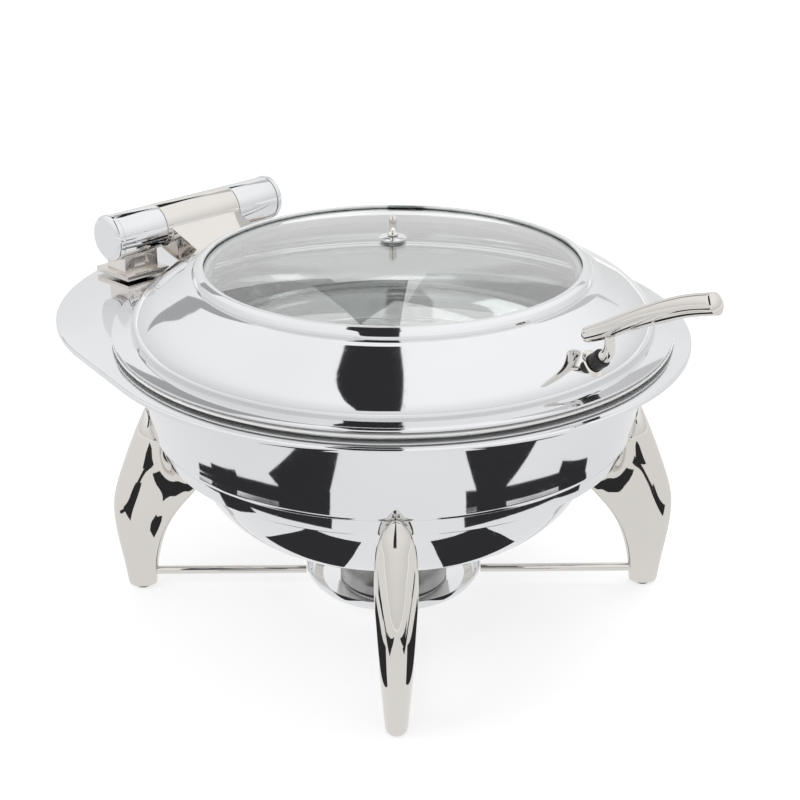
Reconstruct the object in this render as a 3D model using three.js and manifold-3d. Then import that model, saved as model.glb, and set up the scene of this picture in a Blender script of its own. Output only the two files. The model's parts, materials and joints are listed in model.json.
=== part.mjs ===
// Round chafing dish with a hinged glass-window lid, on a four-legged stand with a fuel burner.
// Millimetres, +Z up. The origin is on the floor, on the vertical axis of the pans and the lid.
// The lid's hinge is at the rear (+Y) and its handle at the front (-Y).
import * as THREE from 'three';
import { mergeVertices } from 'three/addons/utils/BufferGeometryUtils.js';
import Module from 'manifold-3d';

const wasm = await Module();
wasm.setup();

// ---------- driving dimensions ----------
const GAP = 0.3; // between pieces that touch
const SHEET = 1.5; // pans and lid shell
const THIN = 1.2; // burner sheet

// Radii, outward from the food pan.
const FOOD_R = 180;
const WALL_TOP_R = FOOD_R + 6; // water pan under the flange
const WALL_LOW_R = WALL_TOP_R - 6.4; // the same wall just above its step
const STEP_W = 27.4; // how far the step leads in, to the lower bowl
const BOWL_R = WALL_LOW_R - STEP_W;
const DOME_R = FOOD_R + 10.2; // foot of the lid's dome
const DOME_BAND = 43.7; // width of the dome, from its foot in to the window's seat
const SEAT_R = DOME_R - DOME_BAND;
const GLASS_R = SEAT_R - 5.3;
const LIP_R = FOOD_R + 25; // flat lip of the lid
const FLANGE_R = LIP_R + 14.6; // flange around the pans
const FLANGE_LIP = 4.5; // turned-down edge

// Burner, upward from the floor.
const TRAY_FLOOR_Z = 8;
const TRAY_Z = 22; // rim of the burner tray
const CUP_R = 42; // fuel cup
const CUP_H = 34.5;
const CUP_MOUTH_R = 24;
const TRAY_R = CUP_R + 27;
const KNOB_H = 11.4;
const CUP_Z = TRAY_FLOOR_Z + THIN + GAP;
const CUP_TOP = CUP_Z + CUP_H;
const COVER_Z = CUP_TOP + GAP;
const SHUTTER_Z = COVER_Z + THIN + GAP;

// Pans and lid, upward from the burner.
const FLAME_GAP = 13.8; // between the burner's knob and the bowl
const BOWL_H = 78.8; // lower bowl, up to the step
const WALL_H = 71.2; // wall, from the step to the rim
const DOME_H = 38.3; // dome, from the lip to the window's seat
const BOWL_Z = SHUTTER_Z + KNOB_H + FLAME_GAP;
const STEP_Z = BOWL_Z + BOWL_H; // underside of the step that rests on the stand
const RIM_Z = STEP_Z + WALL_H; // top of the body's flange
const FOOD_FLOOR_Z = STEP_Z + SHEET + 9.2; // underside of the food pan, above the step
const FOOD_RIM_Z = RIM_Z + GAP;
const LIP_UNDER = FOOD_RIM_Z + SHEET + 0.5; // underside of the lid's lip
const SEAT_Z = LIP_UNDER + DOME_H;
const GLASS_T = 3.7;
const GLASS_RISE = 17.6;
const GASKET_T = 1; // under the glass

const RING_R = WALL_LOW_R - 3.6; // stand ring, outside, under the step's corner
const RING_T = 2.6;
const RING_H = 13.5;
const FOOT_R = RING_R + 22.5; // centre of a foot from the axis
const FOOT_Z = 1.2; // underside of a leg above the floor
const PAD_R = 5.5;
const LEG_ANGLES = { front_right: -45, rear_right: 45, rear_left: 135, front_left: 225 };
const BAR_R = 3.25; // stay bars between legs and burner tray
const BAR_Z = 13;

const BARREL_R = 18;
const BARREL_BORE_R = 12;
const ARM_HALF = 34; // half width of the lid arm
const KNUCKLE_HALF = ARM_HALF + 3.6; // half length of the barrel's middle section
const BARREL_X = KNUCKLE_HALF + 0.4; // inner end of a fixed barrel
const BARREL_L = 41.6;
const BARREL_HALF = BARREL_X + BARREL_L; // half length of the barrel without its end caps
const CAP_T = 7;
const SHAFT_R = 6;
const RUN = 0.08; // radial running clearance of the shaft
const POST_X0 = BARREL_X + 8; // a bracket's post, from its inner side
const POST_X1 = BARREL_HALF - 1.6; // to its outer side
const HINGE_Y = LIP_R + 29; // hinge axis, along X, behind the lid's lip
const HINGE_Z = RIM_Z + 14.5 + BARREL_R;
const FLANGE_REACH = HINGE_Y + 45; // the flange is drawn out behind the hinge
const LOBE_R = FLANGE_R - 15.6; // rounder end of the flange that carries the hinge
const LOBE_Y = FLANGE_REACH - LOBE_R;
const SCREW_R = 2.1;
const HOLE_R = SCREW_R + GAP;
const CURVE_GAP = 1.4; // under a flat screw head on the curved inside of the dome or ring

const HANDLE_R0 = 5.3; // handle bar radius at its inner end
const HANDLE_R1 = 7.4; // and near its outer end
const COLLAR_T = 8;
const ROSETTE_T = 2;

const ROUND = 36; // facets of the large round pieces
const SMALL = 18;

// ---------- materials ----------
const steel = (color, roughness) => () => new THREE.MeshStandardMaterial({ color, roughness, metalness: 1 });
const polished = steel(0xd9dadb, 0.08);
const satin = steel(0xb9babb, 0.35);
const black = () => new THREE.MeshStandardMaterial({ color: 0x141414, roughness: 0.5 });
const rubber = () => new THREE.MeshStandardMaterial({ color: 0x1b1b1c, roughness: 0.8 });
const silicone = () => new THREE.MeshStandardMaterial({ color: 0x8d8f90, roughness: 0.7 });
const nylon = () => new THREE.MeshStandardMaterial({ color: 0xe8e4da, roughness: 0.6 });
const glass = () => new THREE.MeshStandardMaterial({
  color: 0xc9d6d6, roughness: 0.02, opacity: 0.3, transparent: true,
});

// ---------- helpers ----------
const rad = THREE.MathUtils.degToRad;

// Welds a geometry to bare positions, drops collapsed faces and turns its faces outward.
function weld(source) {
  const bare = new THREE.BufferGeometry();
  bare.setAttribute('position', source.getAttribute('position').clone());
  if (source.index) bare.setIndex(source.index.clone());
  const geometry = mergeVertices(bare, 1e-4);
  const p = geometry.getAttribute('position');
  const [a, b, c] = [new THREE.Vector3(), new THREE.Vector3(), new THREE.Vector3()];
  const kept = [];
  let volume = 0;
  for (let i = 0; i < geometry.index.count; i += 3) {
    const f = [0, 1, 2].map((k) => geometry.index.getX(i + k));
    if (f[0] === f[1] || f[1] === f[2] || f[2] === f[0]) continue;
    [a, b, c].forEach((corner, k) => corner.fromBufferAttribute(p, f[k]));
    volume += a.dot(b.cross(c));
    kept.push(f);
  }
  geometry.setIndex(kept.flatMap((f) => (volume < 0 ? [f[0], f[2], f[1]] : f)));
  return geometry;
}

function solid(source) {
  const g = weld(source);
  const positions = new Float32Array(g.getAttribute('position').array);
  const mesh = new wasm.Mesh({ numProp: 3, vertProperties: positions, triVerts: new Uint32Array(g.index.array) });
  return new wasm.Manifold(mesh);
}

function surface(manifold) {
  const mesh = manifold.getMesh();
  const geometry = new THREE.BufferGeometry();
  geometry.setAttribute('position', new THREE.BufferAttribute(new Float32Array(mesh.vertProperties), 3));
  geometry.setIndex(new THREE.BufferAttribute(new Uint32Array(mesh.triVerts), 1));
  return geometry;
}

const join = (...pieces) => surface(pieces.map(solid).reduce((sum, piece) => sum.add(piece)));
const cut = (body, ...tools) => surface(tools.map(solid).reduce((left, tool) => left.subtract(tool), solid(body)));

// Turns a closed outline of [radius, height] pairs about the Z axis.
function lathe(outline, facets = ROUND) {
  const points = [...outline, outline[0]].map(([r, z]) => new THREE.Vector2(r, z));
  return weld(new THREE.LatheGeometry(points, facets).rotateX(Math.PI / 2));
}

const band = (r0, r1, z0, z1, facets) => lathe([[r0, z0], [r1, z0], [r1, z1], [r0, z1]], facets);
const disc = (r, z0, z1, facets = SMALL) => lathe([[0, z0], [r, z0], [r, z1], [0, z1]], facets);
const alongX = (geometry, y = HINGE_Y, z = HINGE_Z) => geometry.rotateY(Math.PI / 2).translate(0, y, z);

// Offsets an open line of [radius, height] pairs sideways by t, with mitred corners.
function offset(line, t) {
  const normal = (i) => {
    const [dr, dz] = [line[i + 1][0] - line[i][0], line[i + 1][1] - line[i][1]];
    return new THREE.Vector2(dz, -dr).normalize();
  };
  return line.map(([r, z], i) => {
    const before = normal(Math.max(i - 1, 0));
    const after = normal(Math.min(i, line.length - 2));
    const mitre = before.clone().add(after).multiplyScalar(1 / (1 + before.dot(after)));
    return [r + mitre.x * t, z + mitre.y * t];
  });
}

const sheet = (line, t) => lathe([...line, ...offset(line, t).reverse()]);

function box(x0, x1, y0, y1, z0, z1) {
  const size = [x1 - x0, y1 - y0, z1 - z0];
  return new THREE.BoxGeometry(...size).translate((x0 + x1) / 2, (y0 + y1) / 2, (z0 + z1) / 2);
}

// Extrudes an outline of [y, z] pairs along X, from -half to half.
function extrudeX(outline, half) {
  const shape = new THREE.Shape(outline.map(([y, z]) => new THREE.Vector2(y, z)));
  const geometry = new THREE.ExtrudeGeometry(shape, { depth: 2 * half, bevelEnabled: false });
  const [x, y, z] = [new THREE.Vector3(0, 1, 0), new THREE.Vector3(0, 0, 1), new THREE.Vector3(1, 0, 0)];
  return geometry.translate(0, 0, -half).applyMatrix4(new THREE.Matrix4().makeBasis(x, y, z));
}

// Skins a row of rings with equal point counts and closes both ends.
function loft(rings) {
  const n = rings[0].length;
  const centre = (ring) => ring.reduce((sum, p) => sum.add(p), new THREE.Vector3()).divideScalar(n);
  const points = [...rings.flat(), centre(rings[0]), centre(rings.at(-1))];
  const faces = [];
  for (let i = 0; i + 1 < rings.length; i++) {
    for (let k = 0; k < n; k++) {
      const [a, b] = [i * n + k, i * n + ((k + 1) % n)];
      faces.push(a, b, b + n, a, b + n, a + n);
    }
  }
  const last = (rings.length - 1) * n;
  for (let k = 0; k < n; k++) {
    const next = (k + 1) % n;
    faces.push(next, k, last + n, last + k, last + next, last + n + 1);
  }
  const geometry = new THREE.BufferGeometry().setFromPoints(points);
  geometry.setIndex(faces);
  return weld(geometry);
}

// A smooth value read off a table of [key, value] pairs with falling keys.
function table(rows) {
  return (key) => {
    let i = rows.findIndex(([k]) => k <= key);
    i = Math.min(Math.max(i === -1 ? rows.length - 1 : i, 1), rows.length - 1);
    const t = THREE.MathUtils.clamp((rows[i - 1][0] - key) / (rows[i - 1][0] - rows[i][0]), 0, 1);
    const v = (k) => rows[Math.min(Math.max(k, 0), rows.length - 1)][1];
    return THREE.MathUtils.lerp(v(i - 1), v(i), t);
  };
}

// Places a piece made along +Z so that it starts at [y, z] in the YZ plane and runs along a direction.
function aim(geometry, [y, z], [dy, dz]) {
  const turn = new THREE.Quaternion().setFromUnitVectors(
    new THREE.Vector3(0, 0, 1), new THREE.Vector3(0, dy, dz).normalize());
  return geometry.applyQuaternion(turn).translate(0, y, z);
}

const model = new THREE.Group();
function add(name, geometry, material, parent = model) {
  const mesh = new THREE.Mesh(weld(geometry), material());
  mesh.name = name;
  parent.add(mesh);
  return mesh;
}

// ---------- body: water pan with its flange, food pan, gasket ----------
const RIM_UNDER = RIM_Z - SHEET;
const DRAWN_BOWL_H = 78.8; // the bowl's outline, in from its wall and up from its floor, at this height
const bowlOutline = [[1, 57], [4.6, 42.5], [13, 26.5], [26, 13], [44, 3], [60, 0]];
const bowlLine = [
  [FLANGE_R - 13.6, RIM_UNDER], [WALL_TOP_R + 3, RIM_UNDER], [WALL_TOP_R, RIM_UNDER - 3],
  [WALL_TOP_R - 2.4, RIM_Z - 31], [WALL_LOW_R, STEP_Z + 10.2], [WALL_LOW_R - 2.1, STEP_Z + 3.2],
  [WALL_LOW_R - 6, STEP_Z], [BOWL_R + 4, STEP_Z], [BOWL_R, STEP_Z - 6],
  ...bowlOutline.map(([inward, up]) => [BOWL_R - inward, BOWL_Z + (up * BOWL_H) / DRAWN_BOWL_H]),
  [0, BOWL_Z],
];

const LOBE_TURN = Math.acos((FLANGE_R - LOBE_R) / LOBE_Y); // where the lobe's arc meets the straight side
function flangeShape(inset) {
  const shape = new THREE.Shape();
  const side = Math.PI / 2;
  shape.absarc(0, LOBE_Y, LOBE_R - inset, side - LOBE_TURN, side + LOBE_TURN, false);
  shape.absarc(0, 0, FLANGE_R - inset, side + LOBE_TURN, 5 * side - LOBE_TURN, false);
  return shape;
}

function flangePlate(inset, z0, z1) {
  const settings = { depth: z1 - z0, bevelEnabled: false, curveSegments: 12 };
  return new THREE.ExtrudeGeometry(flangeShape(inset), settings).translate(0, 0, z0);
}

const SCREW_INSET = 6; // hinge screws, in from the sides of a bracket's post
const hingeScrewX = [POST_X0 + SCREW_INSET, POST_X1 - SCREW_INSET];
const hingeScrewSpots = [-1, 1].flatMap((side) => hingeScrewX.map((x) => side * x));
const hingeScrewHole = (x, z1) => disc(HOLE_R, RIM_UNDER - 5, z1).translate(x, HINGE_Y, 0);

{
  const rimRing = cut(
    flangePlate(0, RIM_Z - FLANGE_LIP, RIM_Z),
    flangePlate(SHEET, RIM_Z - FLANGE_LIP - 1, RIM_UNDER),
    disc(FLANGE_R - 15, RIM_Z - FLANGE_LIP - 1, RIM_Z + 1, ROUND),
  );
  const holes = hingeScrewSpots.map((x) => hingeScrewHole(x, RIM_Z + 1));
  add('water_pan', cut(join(sheet(bowlLine, SHEET), rimRing), ...holes), polished);
}

const foodLine = [
  [FOOD_R + 16, FOOD_RIM_Z], [FOOD_R + 3, FOOD_RIM_Z], [FOOD_R, FOOD_RIM_Z - 4], [FOOD_R - 4, FOOD_FLOOR_Z + 30],
  [FOOD_R - 10, FOOD_FLOOR_Z + 10], [FOOD_R - 24, FOOD_FLOOR_Z + 1], [FOOD_R - 40, FOOD_FLOOR_Z],
  [0, FOOD_FLOOR_Z],
];
add('food_pan', sheet(foodLine, SHEET), satin);
add('lid_gasket', band(LIP_R - 7, LIP_R - 2, RIM_Z + GAP, LIP_UNDER - GAP), silicone);

// ---------- lid: shell, window, vent ----------
// The dome's outline, in from its foot and up from the lip's underside, on a dome of the drawn size.
const DRAWN_BAND = 43.7;
const DRAWN_DOME_H = 38.3;
const domeOutline = [[0, 7.7], [3.2, 13.3], [8.7, 19.5], [17.2, 25.7], [28.2, 31.7], [38.7, 36.7]].map(
  ([inward, up]) => [DOME_R - (inward * DOME_BAND) / DRAWN_BAND, LIP_UNDER + (up * DOME_H) / DRAWN_DOME_H]);
const domeLine = [
  [LIP_R, LIP_UNDER + SHEET], [DOME_R + 3, LIP_UNDER + SHEET], [DOME_R + 0.9, LIP_UNDER + SHEET + 1.5],
  ...domeOutline, [SEAT_R, SEAT_Z], [SEAT_R - 13.5, SEAT_Z],
];
// Where the handle and the hinge's arm stand on the steep part of the dome, and the dome's normal there.
const [rootPoint, lowPoint, highPoint] = domeOutline;
const between = (a, b) => [(a[0] + b[0]) / 2, (a[1] + b[1]) / 2];
const outward = (a, b) => new THREE.Vector2(b[1] - a[1], a[0] - b[0]).normalize().toArray();
const toFront = ([y, z]) => [-y, z];
const HANDLE_FOOT = toFront(between(lowPoint, highPoint));
const HANDLE_NORMAL = toFront(outward(lowPoint, highPoint));
const ARM_FOOT = between(rootPoint, lowPoint);
const ARM_NORMAL = outward(rootPoint, lowPoint);
const ARM_SCREW_TURNS = [-6, 6].map(rad);

const NECK_START = ROSETTE_T + COLLAR_T + 3 * GAP;
const handleHole = (from, to, r = HOLE_R) => aim(disc(r, from, to), HANDLE_FOOT, HANDLE_NORMAL);
const armHole = (turn, from, to, r = HOLE_R) => aim(disc(r, from, to), ARM_FOOT, ARM_NORMAL).rotateZ(turn);

const lid = new THREE.Group();
model.add(lid);
const lidCuts = [handleHole(-8, 8), ...ARM_SCREW_TURNS.map((turn) => armHole(turn, -8, 3))];
add('lid_shell', cut(sheet(domeLine, -SHEET), ...lidCuts), polished, lid);

const glassTop = SEAT_Z + 2 * GAP + GASKET_T + GLASS_T + GLASS_RISE;
const glassSphere = (GLASS_R ** 2 + GLASS_RISE ** 2) / (2 * GLASS_RISE);
const glassZ = (r) => glassTop - (glassSphere - Math.sqrt(glassSphere ** 2 - r ** 2));
const PIN_R = 2.7;
const PIN_HOLE_R = 3.4;
{
  const steps = [0, 0.25, 0.5, 0.72, 0.88, 1].map((t) => PIN_HOLE_R + (GLASS_R - PIN_HOLE_R) * t);
  const top = steps.map((r) => [r, glassZ(r)]);
  const under = steps.map((r) => [r, glassZ(r) - GLASS_T]).reverse();
  add('glass_window', lathe([...top, ...under]), glass, lid);
}
const glassEdgeZ = glassZ(GLASS_R);
add('window_gasket', band(SEAT_R - 12, SEAT_R - 5.2, SEAT_Z + GAP, glassEdgeZ - GLASS_T - GAP), silicone, lid);
add('window_ring', lathe([
  [GLASS_R + GAP, SEAT_Z + GAP], [SEAT_R - 0.6, SEAT_Z + GAP], [SEAT_R - 0.6, SEAT_Z + 4], [SEAT_R - 2.3, SEAT_Z + 7],
  [GLASS_R - 0.4, glassEdgeZ + 3.3], [GLASS_R - 3.8, glassEdgeZ + 3.5], [GLASS_R - 3.8, glassEdgeZ + 1.3],
  [GLASS_R + GAP, glassEdgeZ + 0.5],
]), polished, lid);
add('window_clamp_ring', band(SEAT_R - 15, SEAT_R - 6.5, SEAT_Z - SHEET - GAP - 2.2, SEAT_Z - SHEET - GAP), satin, lid);

const SEAL_Z = glassTop + GAP;
const WASHER_Z = SEAL_Z + 1.1 + GAP;
const PIN_BORE = PIN_R + GAP;
add('vent_seal', band(PIN_BORE, 8.8, SEAL_Z, SEAL_Z + 1.1, SMALL), silicone, lid);
add('vent_washer', lathe([
  [PIN_BORE, WASHER_Z], [10, WASHER_Z], [10, WASHER_Z + 0.7], [6, WASHER_Z + 1.8], [PIN_BORE, WASHER_Z + 2],
], SMALL), polished, lid);
add('vent_pin', lathe([
  [0, glassTop - GLASS_T - 4.6], [PIN_R, glassTop - GLASS_T - 4.6], [PIN_R, WASHER_Z + 2.3], [4.2, WASHER_Z + 2.3],
  [4.2, WASHER_Z + 3.9], [2.9, WASHER_Z + 5.2], [2.9, WASHER_Z + 14], [2.2, WASHER_Z + 15.8], [0, WASHER_Z + 16.5],
], SMALL), polished, lid);
const NUT_Z = glassTop - GLASS_T - 0.4;
add('vent_nut', lathe([
  [PIN_BORE, NUT_Z - 4], [6, NUT_Z - 4], [6, NUT_Z - 0.9], [8, NUT_Z - 0.9], [8, NUT_Z], [PIN_BORE, NUT_Z],
], SMALL), satin, lid);

// ---------- lid handle: a tapered bar on a short neck, standing out at the front ----------
// It reaches as far forward as the flange reaches back.
const handleTop = HANDLE_FOOT[1] + 26;
const handleRoot = -HANDLE_FOOT[0] + 9;
const handleSpan = FLANGE_REACH - 3.5 - handleRoot;
const handleOutline = [
  [-17, -8.7], [0, 0], [0.36474 * handleSpan, 17.5], [0.71733 * handleSpan, 31.5], [handleSpan, 40],
];
const handleLine = new THREE.CatmullRomCurve3(handleOutline.map(([forward, up]) => (
  new THREE.Vector3(0, -(handleRoot + forward), handleTop + 0.5 + up))));

// Rings of a rod in the YZ plane whose radius follows a list of [place along the line, radius] pairs.
function rod(line, stations) {
  return loft(stations.map(([t, r]) => {
    const tangent = line.getTangentAt(t);
    const across = new THREE.Vector3(1, 0, 0);
    const up = across.clone().cross(tangent).normalize();
    const centre = line.getPointAt(t);
    return Array.from({ length: 12 }, (_, k) => {
      const a = (k / 12) * 2 * Math.PI;
      return centre.clone().addScaledVector(across, r * Math.cos(a)).addScaledVector(up, r * Math.sin(a));
    });
  }));
}

{
  const radius = (t) => HANDLE_R0 + (HANDLE_R1 - HANDLE_R0) * Math.min(1, t / 0.6);
  const stations = [
    [0, 0.45], [0.01, 0.8], [0.03, 1], [0.2, 1], [0.4, 1], [0.6, 1], [0.8, 1], [0.97, 1], [0.99, 0.85], [1, 0.55],
  ];
  const bar = rod(handleLine, stations.map(([t, share]) => [t, radius(t) * share]));
  bar.computeBoundingBox();
  bar.scale(1, FLANGE_REACH / -bar.boundingBox.min.y, 1);
  const at = (s, lift = 0) => new THREE.Vector3(
    0, HANDLE_FOOT[0] + HANDLE_NORMAL[0] * s, HANDLE_FOOT[1] + HANDLE_NORMAL[1] * s + lift);
  const neckPoints = [at(NECK_START), at(NECK_START + 5), at(NECK_START + 6.5, 5), at(NECK_START + 5, 14)];
  const neckLine = new THREE.CatmullRomCurve3(neckPoints);
  const neck = rod(neckLine, [[0, 4.6], [0.25, 4.6], [0.5, 4.5], [0.75, 4.4], [1, 4.4]]);
  add('handle_bar', cut(join(bar, neck), handleHole(NECK_START - 1, NECK_START + 6)), polished, lid);
}
const handleRing = (r, from, to) => cut(handleHole(from, to, r), handleHole(from - 1, to + 1));
add('handle_rosette', handleRing(10, GAP, GAP + ROSETTE_T), polished, lid);
add('handle_collar', handleRing(6.6, 2 * GAP + ROSETTE_T, 2 * GAP + ROSETTE_T + COLLAR_T), black, lid);
const screwOutline = (headR, headZ, under, tip) => [
  [0, headZ], [headR, headZ], [headR, under], [SCREW_R, under], [SCREW_R, tip - 0.6], [SCREW_R - 0.6, tip], [0, tip],
];
const screw = (headR, headT, under, tip) => lathe(screwOutline(headR, under - headT, under, tip), 16);
add('handle_screw', aim(screw(4.2, 2.4, -SHEET - CURVE_GAP, NECK_START + 5.4), HANDLE_FOOT, HANDLE_NORMAL), satin, lid);

// ---------- hinge ----------
const side = { left: -1, right: 1 };
const mirrorX = (geometry, s) => (s < 0 ? weld(geometry.scale(-1, 1, 1)) : geometry);
const BUSHING_L = 12;
const barrelTube = (r0, r1, x0, x1) => alongX(band(r0, r1, x0, x1, 24));

for (const [name, s] of Object.entries(side)) {
  const plate = box(POST_X0 - 5, POST_X1 + 4, HINGE_Y - 20, HINGE_Y + 22, RIM_Z + GAP, RIM_Z + 4.3);
  const post = box(POST_X0, POST_X1, HINGE_Y - 12, HINGE_Y + 12, RIM_Z + 2, HINGE_Z - 7);
  const pocket = box(POST_X0 + 9, POST_X1 - 9, HINGE_Y - 13, HINGE_Y - 8, RIM_Z + 8, RIM_Z + 15);
  const saddle = alongX(disc(BARREL_R + GAP, 0, BARREL_HALF + 20, 24));
  const holes = hingeScrewX.map((x) => hingeScrewHole(x, RIM_Z + 9));
  add(`hinge_bracket_${name}`, mirrorX(cut(join(plate, post), saddle, pocket, ...holes), s), polished);
  add(`hinge_barrel_${name}`, mirrorX(barrelTube(BARREL_BORE_R, BARREL_R, BARREL_X, BARREL_HALF), s), polished);
  const x0 = BARREL_HALF + GAP;
  const cap = alongX(lathe([
    [0, x0], [BARREL_R + 0.6, x0], [BARREL_R + 0.6, x0 + CAP_T - 2.6], [BARREL_R - 0.4, x0 + CAP_T - 0.8],
    [BARREL_R - 2.4, x0 + CAP_T], [0, x0 + CAP_T],
  ], 24));
  add(`hinge_cap_${name}`, mirrorX(cap, s), polished);
  const bushing = barrelTube(SHAFT_R + RUN, BARREL_BORE_R - GAP, BARREL_X, BARREL_X + BUSHING_L);
  add(`hinge_bushing_${name}`, mirrorX(bushing, s), nylon);
}
hingeScrewSpots.forEach((x, i) => {
  const piece = screw(4.5, 3.2, RIM_UNDER - GAP, RIM_Z + 8.4).translate(x, HINGE_Y, 0);
  add(`hinge_screw_${i + 1}`, piece, satin);
});

const KNUCKLE_BORE_R = SHAFT_R + GAP;
const DAMPER_X = BARREL_X + BUSHING_L + 4.6;
{
  const keepOut = [[0, 200], [LIP_R + 1, 200], ...offset(domeLine, GAP), [0, SEAT_Z + GAP]];
  const armLow = LIP_UNDER + 4.9;
  const armLine = [
    [HINGE_Y + 4, HINGE_Z - 16.5], [HINGE_Y - 8, HINGE_Z - 19.5], [HINGE_Y - 22, armLow + 1.3], [LIP_R - 1, armLow],
    [DOME_R - 6, armLow], [DOME_R - 12, armLow + 14.5], [DOME_R - 3.2, armLow + 17.8], [HINGE_Y - 31, armLow + 22.3],
    [HINGE_Y - 15, HINGE_Z + 3.5], [HINGE_Y + 2, HINGE_Z + 8.5],
  ];
  const arm = cut(extrudeX(armLine, ARM_HALF), lathe(keepOut));
  const knuckle = alongX(disc(BARREL_R, -KNUCKLE_HALF, KNUCKLE_HALF, 24));
  const bore = alongX(disc(KNUCKLE_BORE_R, -KNUCKLE_HALF - 1, KNUCKLE_HALF + 1, 24));
  const holes = ARM_SCREW_TURNS.map((turn) => armHole(turn, -2, 10));
  add('lid_arm', cut(join(arm, knuckle), bore, ...holes), polished, lid);
}
ARM_SCREW_TURNS.forEach((turn, i) => {
  const piece = aim(screw(4.2, 2.4, -SHEET - CURVE_GAP, 9.4), ARM_FOOT, ARM_NORMAL).rotateZ(turn);
  add(`arm_screw_${i + 1}`, piece, satin, lid);
});
add('hinge_shaft', alongX(disc(SHAFT_R, -BARREL_HALF + 2, DAMPER_X - 3, 24)), satin, lid);
add('hinge_damper', alongX(lathe([
  [0, DAMPER_X], [BARREL_BORE_R - GAP, DAMPER_X], [BARREL_BORE_R - GAP, BARREL_HALF - 2], [0, BARREL_HALF - 2],
], 24)), satin);

// The closing spring, a round-wire helix about the shaft inside the left barrel.
class Helix extends THREE.Curve {
  constructor(radius, x0, x1, turns) {
    super();
    Object.assign(this, { radius, x0, x1, turns });
  }
  getPoint(t, target = new THREE.Vector3()) {
    const a = 2 * Math.PI * this.turns * t;
    return target.set(THREE.MathUtils.lerp(this.x0, this.x1, t), this.radius * Math.cos(a), this.radius * Math.sin(a));
  }
}
{
  const turns = 5;
  const wire = new THREE.Shape().absarc(0, 0, 1.2, 0, 2 * Math.PI, false);
  const path = new Helix((SHAFT_R + BARREL_BORE_R) / 2, -BARREL_HALF + 4, -BARREL_X - BUSHING_L - 2.6, turns);
  const settings = { steps: turns * 10, extrudePath: path, curveSegments: 3, bevelEnabled: false };
  add('hinge_spring', new THREE.ExtrudeGeometry(wire, settings).translate(0, HINGE_Y, HINGE_Z), satin);
}

// ---------- stand: ring, legs, stays ----------
const RING_TOP = STEP_Z - GAP;
const RING_Z = RING_TOP - RING_H / 2;
{
  const hoop = lathe([
    [RING_R - RING_T - 1, RING_TOP - RING_H], [RING_R - 1.6, RING_TOP - RING_H], [RING_R, RING_TOP - 1.5],
    [RING_R - 0.8, RING_TOP], [RING_R - RING_T, RING_TOP],
  ]);
  const holes = Object.values(LEG_ANGLES).map((angle) => (
    disc(HOLE_R, RING_R - 12, RING_R + 2, 16).rotateY(Math.PI / 2).translate(0, 0, RING_Z).rotateZ(rad(angle))));
  add('stand_ring', cut(hoop, ...holes), polished);
}

// A leg seen from the side: its outer and inner edges and its width at each height. The free heights are
// those of a leg of the drawn height.
const LEG_TIP_Z = STEP_Z + 3.6;
const DRAWN_LEG_H = 152.2;
const RING_LOW = RING_TOP - RING_H;
const legZ = (z) => FOOT_Z + ((z - FOOT_Z) * (LEG_TIP_Z - FOOT_Z)) / DRAWN_LEG_H;
const legOuter = table([
  [LEG_TIP_Z, RING_R + 12], [legZ(148), RING_R + 14.6], [legZ(140), RING_R + 18.4], [legZ(130), RING_R + 22.6],
  [legZ(118), RING_R + 27.5], [legZ(104), RING_R + 32.8], [legZ(92), RING_R + 37], [legZ(80), RING_R + 40.2],
  [legZ(68), RING_R + 41.5], [legZ(52), RING_R + 40.6], [legZ(34), RING_R + 38], [legZ(16), RING_R + 35.2],
  [FOOT_Z, FOOT_R + 11],
]);
const legInner = table([
  [LEG_TIP_Z, RING_R + 8.6], [STEP_Z + 1.2, RING_R + 4.4], [STEP_Z - 1.8, RING_R + 1.4], [RING_LOW - 0.8, RING_R + 0.6],
  [RING_LOW - 2.4, RING_R - 3.5], [legZ(120), RING_R - 15.8], [legZ(104), RING_R - 21.8], [legZ(92), RING_R - 25.4],
  [legZ(85), RING_R - 26.4], [legZ(80), RING_R - 21.2], [legZ(70), RING_R - 11.3], [legZ(55), RING_R - 1.3],
  [legZ(38), RING_R + 5.7], [legZ(18), RING_R + 10.2], [FOOT_Z, FOOT_R - 11],
]);
const legWidth = table([
  [LEG_TIP_Z, 3], [legZ(151), 9.5], [legZ(147), 15.5], [legZ(142), 20.5], [legZ(134), 26], [legZ(124), 30.5], [legZ(108), 33.5],
  [legZ(94), 32], [legZ(80), 29.8], [legZ(64), 27.4], [legZ(48), 24.4], [legZ(32), 21.2], [legZ(16), 17.6], [FOOT_Z, 15.4],
]);
const LEG_LEVELS = [
  LEG_TIP_Z, STEP_Z + 1.7, STEP_Z - 2.3, RING_LOW - 0.8, RING_LOW - 2.4, legZ(120), legZ(106), legZ(94), legZ(85), legZ(80),
  legZ(70), legZ(55), legZ(36), legZ(18), FOOT_Z,
];
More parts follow.
